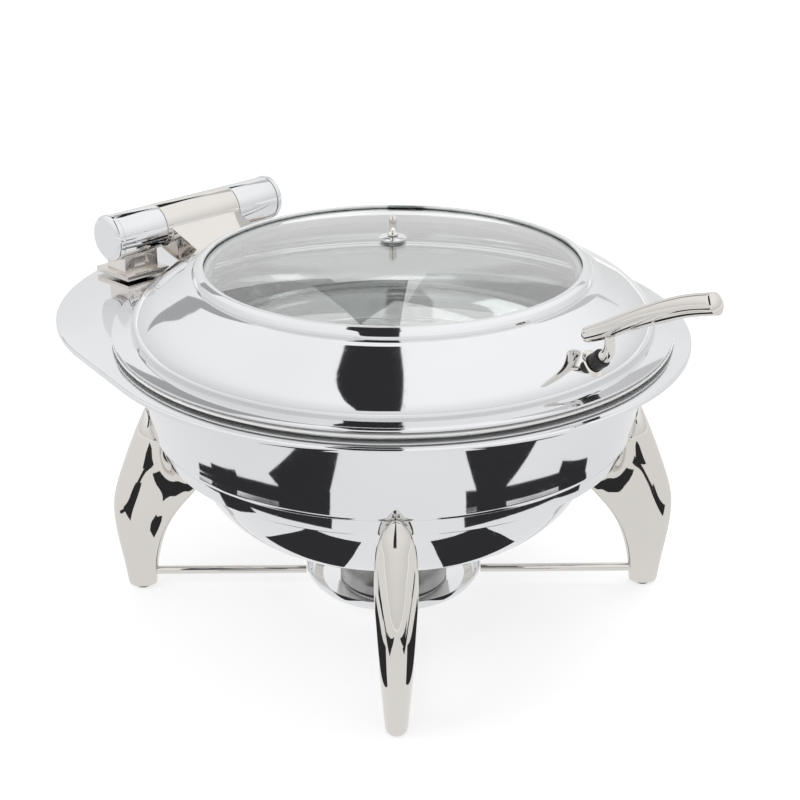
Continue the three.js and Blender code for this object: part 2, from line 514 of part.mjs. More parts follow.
// One level of a leg: full and round at the outside, drawn thinner towards the pans.
function legRing(z) {
  const [inner, outer, half] = [legInner(z), legOuter(z), legWidth(z) / 2];
  const wide = THREE.MathUtils.smoothstep(outer - inner, 24, 60);
  return Array.from({ length: 16 }, (_, k) => {
    const a = (k / 16) * 2 * Math.PI;
    const r = (inner + outer) / 2 + ((outer - inner) / 2) * Math.cos(a);
    const out = THREE.MathUtils.smoothstep((r - inner) / (outer - inner), 0.1, 0.75);
    const narrow = THREE.MathUtils.lerp(1, THREE.MathUtils.lerp(0.42, 1, out), wide);
    return new THREE.Vector3(r, half * Math.sin(a) * narrow, z);
  });
}
const BAR_HOLE_DEPTH = 7;
Object.entries(LEG_ANGLES).forEach(([corner, angle]) => {
  const turn = rad(angle);
  const radial = (geometry, z) => geometry.rotateY(Math.PI / 2).translate(0, 0, z).rotateZ(turn);
  const barEnd = legInner(BAR_Z) + BAR_HOLE_DEPTH;
  const leg = loft(LEG_LEVELS.map(legRing)).rotateZ(turn);
  add(`leg_${corner}`, cut(
    leg,
    radial(disc(HOLE_R, RING_R - 2, RING_R + 10, 16), RING_Z),
    radial(disc(BAR_R + GAP, TRAY_R, barEnd + GAP, 16), BAR_Z),
    disc(PAD_R + GAP, -1, FOOT_Z + 2.3, 20).translate(FOOT_R, 0, 0).rotateZ(turn),
  ), polished);
  add(`foot_pad_${corner}`, disc(PAD_R, 0, FOOT_Z + 2, 20).translate(FOOT_R, 0, 0).rotateZ(turn), rubber);
  add(`leg_screw_${corner}`, radial(screw(4.6, 3, RING_R - RING_T - 1 - CURVE_GAP, RING_R + 9.4), RING_Z), satin);
  add(`stay_bar_${corner}`, radial(disc(BAR_R, TRAY_R - 0.2, barEnd, 16), BAR_Z), polished);
});

// ---------- burner: tray, fuel cup, cover and swivelling shutter ----------
add('burner_tray', sheet([
  [TRAY_R, TRAY_Z], [TRAY_R - 0.6, TRAY_Z - 4.5], [TRAY_R - 4.6, TRAY_FLOOR_Z + 4], [CUP_R + 13, TRAY_FLOOR_Z + 1],
  [CUP_R + 2, TRAY_FLOOR_Z], [0, TRAY_FLOOR_Z],
], THIN), polished);
add('fuel_cup', sheet([[CUP_R, CUP_TOP], [CUP_R, CUP_Z + 1.6], [CUP_R - 1.6, CUP_Z], [0, CUP_Z]], THIN), satin);
const PIVOT_Y = (CUP_R + CUP_MOUTH_R) / 2;
const RIVET_R = 1.9;
const rivetHole = disc(RIVET_R + GAP, COVER_Z - 5, COVER_Z + 8, 16).translate(0, PIVOT_Y, 0);
add('burner_cover', cut(lathe([
  [CUP_MOUTH_R, COVER_Z], [CUP_R + GAP, COVER_Z], [CUP_R + GAP, COVER_Z - 6], [CUP_R + 1.5, COVER_Z - 6],
  [CUP_R + 1.5, COVER_Z + THIN], [CUP_MOUTH_R, COVER_Z + THIN],
]), rivetHole), satin);
const KNOB_Y = -(CUP_MOUTH_R - 2);
{
  const outline = new THREE.Shape();
  outline.absarc(0, 0, CUP_MOUTH_R + 2.5, rad(128), rad(412), false);
  outline.absarc(0, PIVOT_Y, 5.5, rad(52 - 15), rad(128 + 15), false);
  const plate = new THREE.ExtrudeGeometry(outline, { depth: THIN, bevelEnabled: false, curveSegments: 16 });
  const knobHole = disc(1.5 + GAP, SHUTTER_Z - 1, SHUTTER_Z + 3, 16).translate(0, KNOB_Y, 0);
  add('burner_shutter', cut(plate.translate(0, 0, SHUTTER_Z), rivetHole, knobHole), polished);
}
add('shutter_rivet', lathe([
  [0, COVER_Z - 1.9], [3.4, COVER_Z - 1.9], [3.4, COVER_Z - GAP], [RIVET_R, COVER_Z - GAP],
  [RIVET_R, SHUTTER_Z + THIN + GAP], [4, SHUTTER_Z + THIN + GAP], [3, SHUTTER_Z + THIN + 1.8], [0, SHUTTER_Z + THIN + 2],
], 16).translate(0, PIVOT_Y, 0), satin);
add('shutter_knob', lathe([
  [0, SHUTTER_Z + 0.1], [1.5, SHUTTER_Z + 0.1], [1.5, SHUTTER_Z + THIN + GAP], [4, SHUTTER_Z + THIN + GAP],
  [3.2, SHUTTER_Z + 5], [5, SHUTTER_Z + KNOB_H - 1.9], [4, SHUTTER_Z + KNOB_H - 0.4],
  [0, SHUTTER_Z + KNOB_H],
], 16).translate(0, KNOB_Y, 0), black);

export default model;
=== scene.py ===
import json
import math

import bpy
from bpy.props import FloatProperty, FloatVectorProperty, IntProperty, PointerProperty
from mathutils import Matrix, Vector


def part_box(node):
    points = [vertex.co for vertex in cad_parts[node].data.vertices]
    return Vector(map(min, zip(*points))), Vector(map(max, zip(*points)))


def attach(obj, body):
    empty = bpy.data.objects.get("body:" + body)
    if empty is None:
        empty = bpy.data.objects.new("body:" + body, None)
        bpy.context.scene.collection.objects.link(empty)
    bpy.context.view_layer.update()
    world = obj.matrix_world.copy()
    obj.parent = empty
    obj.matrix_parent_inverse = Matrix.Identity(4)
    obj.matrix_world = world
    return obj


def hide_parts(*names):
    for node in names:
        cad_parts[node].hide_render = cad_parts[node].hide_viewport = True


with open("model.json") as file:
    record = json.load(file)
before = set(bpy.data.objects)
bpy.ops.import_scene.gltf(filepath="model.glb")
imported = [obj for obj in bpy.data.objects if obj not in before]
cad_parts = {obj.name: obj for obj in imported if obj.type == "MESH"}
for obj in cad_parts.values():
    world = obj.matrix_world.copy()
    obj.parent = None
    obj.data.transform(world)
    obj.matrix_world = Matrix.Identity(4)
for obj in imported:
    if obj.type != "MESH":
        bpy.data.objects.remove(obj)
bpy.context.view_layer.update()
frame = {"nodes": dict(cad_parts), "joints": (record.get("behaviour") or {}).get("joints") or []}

bl_info = {
    "name": "Round Chafing Dish",
    "version": (1, 0, 0),
    "blender": (4, 5, 0),
    "location": "3D View > Sidebar > Chafer",
    "description": "Builds a polished round chafing dish with a hinged glass-window lid around its frame",
    "category": "Object",
}

MM = 0.001  # outlines below are in millimetres, on [radius, height] about the vertical axis


def least(node, axis):
    """Where a node's box starts along an axis, in millimetres."""
    return getattr(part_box(node)[0], axis) / MM


def most(node, axis):
    """Where a node's box ends along an axis, in millimetres."""
    return getattr(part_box(node)[1], axis) / MM


def heights(node):
    return least(node, "z"), most(node, "z")


# Heights and radii that the frame's own parts give, in millimetres.
RIM_Z = most("water_pan", "z")
FLANGE_R = -least("water_pan", "y")
FLANGE_REACH = most("water_pan", "y")
BOWL_Z = least("water_pan", "z")
FOOD_Z = least("food_pan", "z")
LIP_R = -least("lid_shell", "y")
LIP_UNDER = least("lid_shell", "z")
SEAT_Z = most("lid_shell", "z")
GLASS_TOP = most("glass_window", "z")
GLASS_R = -least("glass_window", "y")
RING_TOP = most("stand_ring", "z")
TRAY_Z = least("burner_tray", "z")
TRAY_R = -least("burner_tray", "y")
CUP_Z = least("fuel_cup", "z")
CUP_TOP = most("fuel_cup", "z")
HINGE = next(j for j in frame["joints"] if j["name"] == "lid_hinge")["pos_m"]
HINGE_Y, HINGE_Z = HINGE[1] / MM, HINGE[2] / MM
LEG_ANGLES = {"front_right": -45, "rear_right": 45, "rear_left": 135, "front_left": 225}


# ---------- sizes and colours that a user would change ----------
def colour(name, description, default):
    return FloatVectorProperty(
        name=name, description=description, default=default, size=3, subtype="COLOR", min=0, max=1,
    )


class ChaferSizes(bpy.types.PropertyGroup):
    """Sizes that are free inside the frame."""

    sheet: FloatProperty(
        name="Sheet", description="Thickness of the pans and the lid shell",
        default=1.5 * MM, min=0.5 * MM, max=3 * MM, unit="LENGTH", precision=4,
    )
    lobe_radius: FloatProperty(
        name="Flange end radius", description="Radius of the flange's end under the hinge",
        default=204 * MM, unit="LENGTH",
    )
    barrel_radius: FloatProperty(
        name="Hinge barrel radius", description="Outer radius of the hinge barrel",
        default=18 * MM, unit="LENGTH",
    )
    edge: FloatProperty(
        name="Edge rounding", description="Rounding of the cut edges of castings",
        default=0.9 * MM, min=0.1 * MM, max=2 * MM, unit="LENGTH", precision=4,
    )
    facets: IntProperty(
        name="Facets", description="Facets round the large turned pieces", default=160, min=48, max=256,
    )


class ChaferLooks(bpy.types.PropertyGroup):
    """Colours and finishes."""

    steel: colour("Polished steel", "Colour of the mirror-polished steel", (0.845, 0.85, 0.862))
    satin: colour("Satin steel", "Colour of the satin steel", (0.58, 0.575, 0.56))
    polish: FloatProperty(
        name="Polish", description="Roughness of clean polished steel",
        default=0.035, min=0, max=1, subtype="FACTOR",
    )
    glass: colour("Glass", "Tint of the window glass", (0.80, 0.83, 0.81))
    black: colour("Black plastic", "Colour of the heat-resistant plastic", (0.012, 0.012, 0.013))


class ChaferStage(bpy.types.PropertyGroup):
    """Floor, light and camera."""

    floor: colour("Floor", "Colour of the floor", (0.47, 0.47, 0.47))
    glow: FloatProperty(name="Floor glow", description="Light of the backlit floor", default=0.60, min=0)
    horizon: FloatProperty(
        name="Horizon", description="Brightness of the surround near the floor", default=0.76, min=0,
    )
    zenith: FloatProperty(
        name="Zenith", description="Brightness of the surround overhead", default=1.04, min=0,
    )
    lamp: FloatProperty(name="Lamp", description="Power of the top softbox in watts", default=16, min=0)
    azimuth: FloatProperty(
        name="Camera azimuth", description="0 looks along +Y",
        default=math.radians(-45.82), subtype="ANGLE",
    )
    elevation: FloatProperty(
        name="Camera elevation", description="Above the horizon",
        default=math.radians(23.4), subtype="ANGLE",
    )
    distance: FloatProperty(
        name="Camera distance", description="From the point it looks at", default=1.1712, unit="LENGTH",
    )
    lens: FloatProperty(
        name="Lens", description="Focal length in millimetres on a 36 mm sensor", default=69.68,
    )


# ---------- shader maths ----------
class Socket:
    """One output of a material's nodes. Arithmetic on it adds Math nodes."""

    def __init__(self, paint, link):
        self.paint, self.link = paint, link

    def math(self, operation, *others):
        return self.paint.math(operation, self, *others)

    def __add__(self, other):
        return self.math("ADD", other)

    def __radd__(self, other):
        return self.paint.math("ADD", other, self)

    def __mul__(self, other):
        return self.math("MULTIPLY", other)

    def __pow__(self, other):
        return self.math("POWER", other)

    def ramp(self, low, high):
        """0 below low, 1 above high, smooth between them."""
        settings = {"interpolation_type": "SMOOTHSTEP"}
        values = {"Value": self, "From Min": low, "From Max": high, "To Min": 0.0, "To Max": 1.0}
        return self.paint.node("ShaderNodeMapRange", settings, values)


class Paint:
    """A new material, or a world's tree, and the one method that adds its nodes."""

    def __init__(self, name, tree=None):
        self.tree = tree
        if tree is None:
            self.material = bpy.data.materials.new(name)
            self.material.use_nodes = True
            self.tree = self.material.node_tree
            self.shader = self.tree.nodes["Principled BSDF"]

    def node(self, kind, settings=None, values=None, out=0):
        """Adds a node: its settings first, then the values or links of its sockets."""
        node = self.tree.nodes.new(kind)
        for key, value in (settings or {}).items():
            setattr(node, key, value)
        for key, value in (values or {}).items():
            self.feed(node.inputs[key], value)
        return Socket(self, node.outputs[out])

    def feed(self, socket, value):
        if isinstance(value, Socket):
            self.tree.links.new(value.link, socket)
        else:
            socket.default_value = value

    def math(self, operation, *values):
        return self.node("ShaderNodeMath", {"operation": operation}, dict(enumerate(values)))

    def set(self, **values):
        """Values or links of the shader's own sockets, with _ for a space in a name."""
        for key, value in values.items():
            self.feed(self.shader.inputs[key.replace("_", " ")], value)

    def place(self):
        return self.node("ShaderNodeTexCoord", out="Object")

    def noise(self, vector, scale, detail=2.0, rough=0.5):
        values = {"Vector": vector, "Scale": scale, "Detail": detail, "Roughness": rough}
        return self.node("ShaderNodeTexNoise", {}, values)

    def stretch(self, vector, scale, turn=(0, 0, 0)):
        return self.node("ShaderNodeMapping", {}, {"Vector": vector, "Scale": scale, "Rotation": turn})

    def polar(self, vector, centre=(0, 0, 0)):
        """Radius, angle and height about a vertical axis, as one vector for patterns that run round it."""
        moved = self.node("ShaderNodeVectorMath", {"operation": "SUBTRACT"}, {0: vector, 1: centre})
        parts = self.node("ShaderNodeSeparateXYZ", {}, {0: moved})
        node = parts.link.node
        x, y, z = (Socket(self, node.outputs[i]) for i in range(3))
        radius = (x * x + y * y) ** 0.5
        angle = y.math("ARCTAN2", x)
        return self.node("ShaderNodeCombineXYZ", {}, {0: radius, 1: angle * 0.01, 2: z})

    def mix(self, share, first, second):
        """A colour between two."""
        values = {"Factor": share, 6: first, 7: second}
        return self.node("ShaderNodeMix", {"data_type": "RGBA"}, values, out=2)

    def bump(self, height, distance, strength=1.0, normal=None):
        values = {"Height": height, "Distance": distance, "Strength": strength}
        if normal is not None:
            values["Normal"] = normal
        return self.node("ShaderNodeBump", {}, values)


def shade(color, factor):
    return (*(min(c * factor, 1.0) for c in color), 1.0)


def polished_steel(looks, name="mirror_polished_steel", turned_marks=1.0, wave=1.0, tint=(1.0, 1.0, 1.0)):
    """Mirror-polished steel: long soft waves, faint turning rings, hairline scratches and finger smears."""
    paint = Paint(name)
    place = paint.place()
    smear = paint.noise(place, 13.0, 5.0, 0.62).ramp(0.50, 0.78)
    dabs = paint.noise(paint.stretch(place, (1.0, 1.0, 2.2)), 46.0, 3.0).ramp(0.60, 0.74) * smear
    hair = paint.noise(paint.stretch(place, (30, 900, 260), (0.4, 0.9, 0.3)), 1.0, 3.0).ramp(0.63, 0.70)
    cross = paint.noise(paint.stretch(place, (700, 40, 500), (0.2, 1.4, 2.0)), 1.0, 3.0).ramp(0.65, 0.72)
    rings = paint.noise(paint.stretch(paint.polar(place), (1400, 30, 1400)), 1.0, 2.0)
    scratches = hair * 0.05 + cross * 0.04 + rings * (0.02 * turned_marks)
    rough = looks.polish + smear * 0.030 + dabs * 0.060 + scratches
    tone = paint.noise(place, 5.0, 2.0)
    steel = tuple(c * t for c, t in zip(looks.steel, tint))
    color = paint.mix(tone.ramp(0.3, 0.7), shade(steel, 1.0), shade(steel, 0.93))
    waves = paint.bump(paint.noise(place, 16.0, 1.0), 0.0009 * wave, 0.35)
    lines = paint.bump(rings, 0.000004 * turned_marks, 0.5, normal=waves)
    paint.set(Base_Color=color, Roughness=rough, Metallic=1.0, Normal=lines)
    return paint.material


def tumbled_steel(looks):
    """Tumble-polished castings: bright, but with a soft, slightly warm sheen and fine pitting."""
    paint = Paint("tumbled_casting")
    place = paint.place()
    cloud = paint.noise(place, 38.0, 4.0, 0.6)
    pits = paint.noise(place, 1500.0, 2.0)
    color = paint.mix(cloud, (0.72, 0.68, 0.64, 1.0), (0.86, 0.83, 0.80, 1.0))
    rough = 0.16 + cloud.ramp(0.4, 0.7) * 0.10 + pits * 0.05
    paint.set(Base_Color=color, Roughness=rough, Metallic=1.0, Normal=paint.bump(pits, 0.00003, 0.5))
    return paint.material


def satin_steel(looks):
    """Satin steel with brushing that runs round the vertical axis."""
    paint = Paint("satin_steel")
    place = paint.place()
    brush = paint.noise(paint.stretch(paint.polar(place), (2600, 120, 2600)), 1.0, 3.0)
    cloud = paint.noise(place, 9.0, 4.0, 0.6)
    color = paint.mix(brush, shade(looks.satin, 0.90), shade(looks.satin, 1.10))
    rough = 0.24 + brush * 0.14 + cloud.ramp(0.45, 0.75) * 0.08
    paint.set(Base_Color=color, Roughness=rough, Metallic=1.0, Normal=paint.bump(brush, 0.00004, 0.6))
    return paint.material


def window_glass(looks):
    """Clear tempered glass with a reflecting coat and a faint film of steam marks."""
    paint = Paint("window_glass")
    place = paint.place()
    film = paint.noise(place, 11.0, 5.0, 0.6).ramp(0.48, 0.8)
    color = paint.mix(film, shade(looks.glass, 1.0), shade(looks.glass, 0.95))
    paint.set(Base_Color=color, Roughness=0.004 + film * 0.035, IOR=1.46, Transmission_Weight=1.0,
              Coat_Weight=1.0, Coat_IOR=2.6, Coat_Roughness=0.01)
    return paint.material


def black_plastic(looks):
    """Heat-resistant moulded plastic with a fine grain."""
    paint = Paint("black_plastic")
    place = paint.place()
    grain = paint.noise(place, 1800.0, 2.0)
    worn = paint.noise(place, 60.0, 4.0).ramp(0.5, 0.8)
    color = paint.mix(worn, shade(looks.black, 1.0), shade(looks.black, 1.9))
    rough = 0.34 + worn * 0.12 + grain * 0.08
    paint.set(Base_Color=color, Roughness=rough, Normal=paint.bump(grain, 0.00005, 0.5))
    return paint.material


def soft_rubber(name, color, rough):
    """Silicone or rubber with dust in its pores."""
    paint = Paint(name)
    place = paint.place()
    pores = paint.noise(place, 900.0, 3.0)
    dust = paint.noise(place, 34.0, 4.0).ramp(0.55, 0.85)
    tint = paint.mix(dust, (*color, 1.0), shade(color, 1.6))
    paint.set(Base_Color=tint, Roughness=rough + dust * 0.1, Normal=paint.bump(pores, 0.00006, 0.6))
    return paint.material


def natural_nylon():
    """Off-white nylon of the bushings."""
    paint = Paint("natural_nylon")
    place = paint.place()
    cloud = paint.noise(place, 120.0, 3.0)
    tint = paint.mix(cloud, (0.72, 0.69, 0.60, 1.0), (0.82, 0.79, 0.72, 1.0))
    paint.set(Base_Color=tint, Roughness=0.42 + cloud * 0.12, Subsurface_Weight=0.1, Subsurface_Scale=0.002)
    return paint.material


MATERIALS = {}


def material(name):
    """Each material is made once, the first time a piece asks for it."""
    looks = bpy.context.scene.chafer_looks
    makers = {
        "polished": lambda: polished_steel(looks),
        "cast": lambda: polished_steel(looks, "polished_casting", 0.0, 1.6, (0.94, 0.905, 0.85)),
        "tumbled": lambda: tumbled_steel(looks),
        "satin": lambda: satin_steel(looks),
        "glass": lambda: window_glass(looks),
        "black": lambda: black_plastic(looks),
        "silicone": lambda: soft_rubber("pale_silicone", (0.80, 0.80, 0.79), 0.45),
        "rubber": lambda: soft_rubber("black_rubber", (0.018, 0.018, 0.018), 0.62),
        "nylon": natural_nylon,
    }
    if name not in MATERIALS:
        MATERIALS[name] = makers[name]()
    return MATERIALS[name]


# ---------- modelling helpers ----------
def mode(name):
    bpy.ops.object.mode_set(mode=name)


def start_clean():
    """Object mode with nothing selected."""
    if bpy.context.mode != "OBJECT":
        mode("OBJECT")
    bpy.ops.object.select_all(action="DESELECT")


def only(obj):
    start_clean()
    obj.select_set(True)
    bpy.context.view_layer.objects.active = obj


def edit(obj):
    only(obj)
    mode("EDIT")


def settle(obj, location=(0, 0, 0), rotation=(0, 0, 0)):
    """Turns and moves a piece, then puts its place into its mesh."""
    only(obj)
    bpy.ops.object.transform_apply(location=True, rotation=True, scale=True)
    obj.rotation_euler = rotation
    obj.location = [v * MM for v in location]
    bpy.ops.object.transform_apply(location=True, rotation=True, scale=True)
    return obj


def duplicate(obj, name):
    """A copy of a piece with its own mesh."""
    only(obj)
    bpy.ops.object.duplicate(linked=False)
    copy = bpy.context.object
    copy.name = copy.data.name = name
    return copy


def apply_modifier(obj, kind, **settings):
    only(obj)
    modifier = obj.modifiers.new(kind.title(), kind)
    for key, value in settings.items():
        setattr(modifier, key, value)
    bpy.ops.object.modifier_apply(modifier=modifier.name)


def carve(obj, operation, *tools):
    """Joins a piece with other pieces, or cuts it by them, and removes them."""
    for tool in tools:
        apply_modifier(obj, "BOOLEAN", operation=operation, object=tool, solver="EXACT")
        bpy.data.objects.remove(tool)
    return obj


def arc_corner(before, corner, after, radius, steps):
    """Points of the arc that rounds a corner of an outline."""
    corner, before, after = Vector(corner), Vector(before), Vector(after)
    to_before, to_after = (before - corner).normalized(), (after - corner).normalized()
    angle = to_before.angle(to_after)
    if angle > math.pi - 0.02:
        return [tuple(corner)]
    shortest = min((before - corner).length, (after - corner).length)
    reach = min(radius / math.tan(angle / 2), 0.49 * shortest)
    centre = corner + (to_before + to_after).normalized() * (reach / math.cos(angle / 2))
    start, end = corner + to_before * reach, corner + to_after * reach
    points = []
    for i in range(steps + 1):
        spoke = (start - centre).lerp(end - centre, i / steps)
        points.append(tuple(centre + spoke.normalized() * (start - centre).length))
    return points


def rounded(corners, closed=False, steps=5):
    """An outline whose corners (x, y, rounding) are replaced by arcs."""
    count = len(corners)
    line = []
    for i, (x, y, radius) in enumerate(corners):
        if radius <= 0 or (not closed and i in (0, count - 1)):
            line.append((x, y))
            continue
        before, after = corners[i - 1][:2], corners[(i + 1) % count][:2]
        line += arc_corner(before, (x, y), after, radius, steps)
    return line


def smooth_through(points, steps):
    """A smooth line through points, with some steps between each pair."""
    line = [points[0]]
    for i in range(len(points) - 1):
        p = [Vector(points[min(max(k, 0), len(points) - 1)]) for k in (i - 1, i, i + 1, i + 2)]
        for k in range(1, steps + 1):
            t = k / steps
            curve = (
                p[1] * 2 + (p[2] - p[0]) * t + (p[0] * 2 - p[1] * 5 + p[2] * 4 - p[3]) * t * t
                + (p[1] * 3 - p[0] - p[2] * 3 + p[3]) * t ** 3
            )
            line.append(tuple(curve * 0.5))
    return line


def drawn(name, stations, facets, start_cap=True, end_cap=True, tilt=(0, 0, 0)):
    """A ring that is extruded from station to station. A station is its centre and its x and y radius."""
    start_clean()
    centre, (rx, ry) = stations[0]
    fill = "NGON" if start_cap else "NOTHING"
    bpy.ops.mesh.primitive_circle_add(
        vertices=facets, radius=rx * MM, fill_type=fill, location=Vector(centre) * MM, rotation=tilt,
    )
    obj = bpy.context.object
    obj.name = obj.data.name = name
    mode("EDIT")
    bpy.ops.transform.resize(value=(1, ry / rx, 1), center_override=Vector(centre) * MM)
    for new_centre, (new_rx, new_ry) in stations[1:]:
        step = (Vector(new_centre) - Vector(centre)) * MM
        bpy.ops.mesh.extrude_edges_move(TRANSFORM_OT_translate={"value": step})
        scale = (new_rx / rx, new_ry / ry, 1 if tilt == (0, 0, 0) else new_rx / rx)
        bpy.ops.transform.resize(value=scale, center_override=Vector(new_centre) * MM)
        centre, rx, ry = new_centre, new_rx, new_ry
    if end_cap:
        bpy.ops.mesh.edge_face_add()
    bpy.ops.mesh.select_all(action="SELECT")
    bpy.ops.mesh.remove_doubles(threshold=1e-6)
    bpy.ops.mesh.normals_make_consistent(inside=False)
    mode("OBJECT")
    return settle(obj)


def turned(name, line, facets=None, caps=(False, False)):
    """A piece turned about the vertical axis from a [radius, height] line."""
    facets = facets or bpy.context.scene.chafer_sizes.facets
    stations = [((0, 0, z), (r, r)) for r, z in line]
    return drawn(name, stations, facets, *caps)


def turned_ring(name, corners, facets=None, steps=4):
    """A closed ring turned from rounded corners (radius, height, rounding)."""
    line = rounded(corners, closed=True, steps=steps)
    return turned(name, [*line, line[0]], facets)


def turned_solid(name, corners, facets=48, steps=4):
    """A solid turned from rounded corners that start and end near the axis."""
    return turned(name, rounded(corners, steps=steps), facets, caps=(True, True))


def block(name, low, high):
    """A box between two corners."""
    start_clean()
    middle = [(a + b) / 2 * MM for a, b in zip(low, high)]
    bpy.ops.mesh.primitive_cube_add(size=1, location=middle)
    obj = bpy.context.object
    obj.name = obj.data.name = name
    mode("EDIT")
    bpy.ops.transform.resize(value=[(b - a) * MM for a, b in zip(low, high)], center_override=middle)
    mode("OBJECT")
    return settle(obj)


def slice_off(obj, point, normal):
    """Cuts a piece by a plane and keeps the side that the normal points away from."""
    edit(obj)
    bpy.ops.mesh.select_all(action="SELECT")
    bpy.ops.mesh.bisect(plane_co=[v * MM for v in point], plane_no=normal, use_fill=True, clear_outer=True)
    mode("OBJECT")


def peg(radius, low, high, rounding=0.0):
    """The outline of a plain cylinder, for turned_solid."""
    return [(0.2, low, 0), (radius, low, rounding), (radius, high, rounding), (0.2, high, 0)]


def band(inner, outer, low, high, under=0.3, over=0.3):
    """The outline of a plain ring, for turned_ring."""
    return [(inner, low, under), (outer, low, under), (outer, high, over), (inner, high, over)]


def rod_x(name, radius, x0, x1, facets=64, rounding=0.4):
    """A bar along X on the hinge axis."""
    bar = turned_solid(name, peg(radius, x0, x1, rounding), facets)
    return settle(bar, (0, HINGE_Y, HINGE_Z), (0, math.pi / 2, 0))


def sheet_metal(obj, thickness=None):
    """Gives a turned skin its sheet thickness, inwards, with a rounded rim."""
    sizes = bpy.context.scene.chafer_sizes
    thickness = thickness or sizes.sheet
    apply_modifier(obj, "SOLIDIFY", thickness=thickness, offset=-1.0, use_even_offset=True)
    apply_modifier(obj, "BEVEL", width=thickness * 0.3, segments=2, limit_method="ANGLE",
                   angle_limit=math.radians(60))


def soften(obj, width=None, segments=3, angle=35):
    sizes = bpy.context.scene.chafer_sizes
    apply_modifier(obj, "BEVEL", width=width or sizes.edge, segments=segments, limit_method="ANGLE",
                   angle_limit=math.radians(angle), harden_normals=False)


def done(obj, body, finish, *nodes, smooth=38):
    """Shades a piece, gives it its finish and sets what it rides on and stands for."""
    only(obj)
    bpy.ops.object.shade_smooth_by_angle(angle=math.radians(smooth))
    obj.data.materials.clear()
    obj.data.materials.append(material(finish))
    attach(obj, body)
    if nodes:
        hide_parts(*nodes)
    return obj


# ---------- pans ----------
STEP_Z = RING_TOP + 0.3
WALL_TOP_R = 186
WALL_LOW_R = 179.6
WALL_STEPS = 16
WALL_BULGE = 0.6
BOWL_R = 152.2
FOOD_R = 180


class CHAFER_OT_water_pan(bpy.types.Operator):
    """The body: lower bowl, step, wall and the flange that is drawn out under the hinge"""

    bl_idname = "chafer.water_pan"
    bl_label = "Water Pan"

    def execute(self, context):
        sizes = context.scene.chafer_sizes
        sheet = sizes.sheet / MM
        bowl = smooth_through([
            (78, BOWL_Z), (94, BOWL_Z), (109, BOWL_Z + 3.2), (126, BOWL_Z + 12.6), (139.2, BOWL_Z + 26.5),
            (147.6, BOWL_Z + 42.5), (151.2, BOWL_Z + 57), (BOWL_R, BOWL_Z + 70),
        ], 4)
        under = RIM_Z - sheet
        side_low, side_high = STEP_Z + 7, under - 4
        side = []
        for step in range(WALL_STEPS + 1):
            share = step / WALL_STEPS
            outward = (1 + WALL_BULGE) * share - WALL_BULGE * share * share
            radius = WALL_LOW_R + (WALL_TOP_R - WALL_LOW_R) * outward
            side.append((radius, side_low + (side_high - side_low) * share))
        foot = rounded([
            (*bowl[-1], 0), (BOWL_R, STEP_Z, 4.5), (WALL_LOW_R - 0.4, STEP_Z, 6), (*side[0], 0),
        ], steps=6)
        top = rounded([(*side[-1], 0), (WALL_TOP_R, under, 2.5), (LIP_R + 2, under, 0)], steps=6)
        wall = [*foot, *side[1:], *top[1:]]
        edge = rounded([
            (LIP_R + 2, under, 0), (FLANGE_R - sheet, under, 2.2), (FLANGE_R - sheet, under - 3, 0),
        ])
        skin = turned("polished_water_pan", [(2, BOWL_Z), *bowl, *wall[1:], *edge[1:]], caps=(True, False))
        stretch_flange(skin)
        sheet_metal(skin)
        done(skin, "pans", "polished", "water_pan")
        return {"FINISHED"}


def stretch_flange(skin):
    """Draws the flange's rear end out, so that its edge is the outline round two circles."""
    lobe = bpy.context.scene.chafer_sizes.lobe_radius
    reach = FLANGE_REACH * MM - lobe
    turn = math.acos((FLANGE_R * MM - lobe) / reach)
    edit(skin)
    bpy.ops.mesh.select_mode(type="VERT")
    bpy.ops.mesh.select_all(action="DESELECT")
    mode("OBJECT")
    for v in skin.data.vertices:
        away = math.hypot(v.co.x, v.co.y) > (LIP_R + 4) * MM
        v.select = away and abs(math.atan2(v.co.x, v.co.y)) < turn
    mode("EDIT")
    share = lobe / (FLANGE_R * MM)
    bpy.ops.transform.resize(value=(share, share, 1), center_override=(0, 0, 0))
    bpy.ops.transform.translate(value=(0, reach, 0))
    mode("OBJECT")


class CHAFER_OT_food_pan(bpy.types.Operator):
    """The food pan with its flat rim, and the lid's gasket"""

    bl_idname = "chafer.food_pan"
    bl_label = "Food Pan"

    def execute(self, context):
        rim = RIM_Z + 0.3
        line = rounded([
            (2, FOOD_Z, 0), (FOOD_R - 22, FOOD_Z, 18), (FOOD_R - 4.5, FOOD_Z + 24, 30), (FOOD_R, rim, 2.6),
            (FOOD_R + 13, rim, 0.5), (FOOD_R + 15.6, rim, 0),
        ], steps=8)
        pan = turned("satin_food_pan", line, caps=(True, False))
        sheet_metal(pan, 1.3 * MM)
        done(pan, "pans", "polished", "food_pan")
        outline = band(LIP_R - 7, LIP_R + 0.4, *heights("lid_gasket"), 0.5, 0.6)
        gasket = turned_ring("pale_lid_gasket", outline)
        done(gasket, "pans", "silicone", "lid_gasket")
        return {"FINISHED"}


# ---------- lid ----------
DOME_R = 190.2
SEAT_R = 146.5
SHEET = 1.5


def dome_line():
    """The lid's outer line from the lip's edge over the dome to the window seat."""
    top = LIP_UNDER + SHEET
    dome = smooth_through([
        (DOME_R - 0.1, top + 3.2), (DOME_R - 0.8, 231.8), (DOME_R - 3.4, 237), (DOME_R - 8.7, 243),
        (DOME_R - 17, 249.2), (DOME_R - 28, 255), (SEAT_R + 4.6, SEAT_Z - 1.2),
    ], 6)
    foot = rounded([(LIP_R, top, 0), (DOME_R + 0.2, top, 1.4), (*dome[0], 0)], steps=5)
    seat = rounded([(*dome[-1], 0), (SEAT_R, SEAT_Z, 3), (SEAT_R - 13.5, SEAT_Z, 0)], steps=4)
    return [*foot, *dome[1:], *seat[1:]]


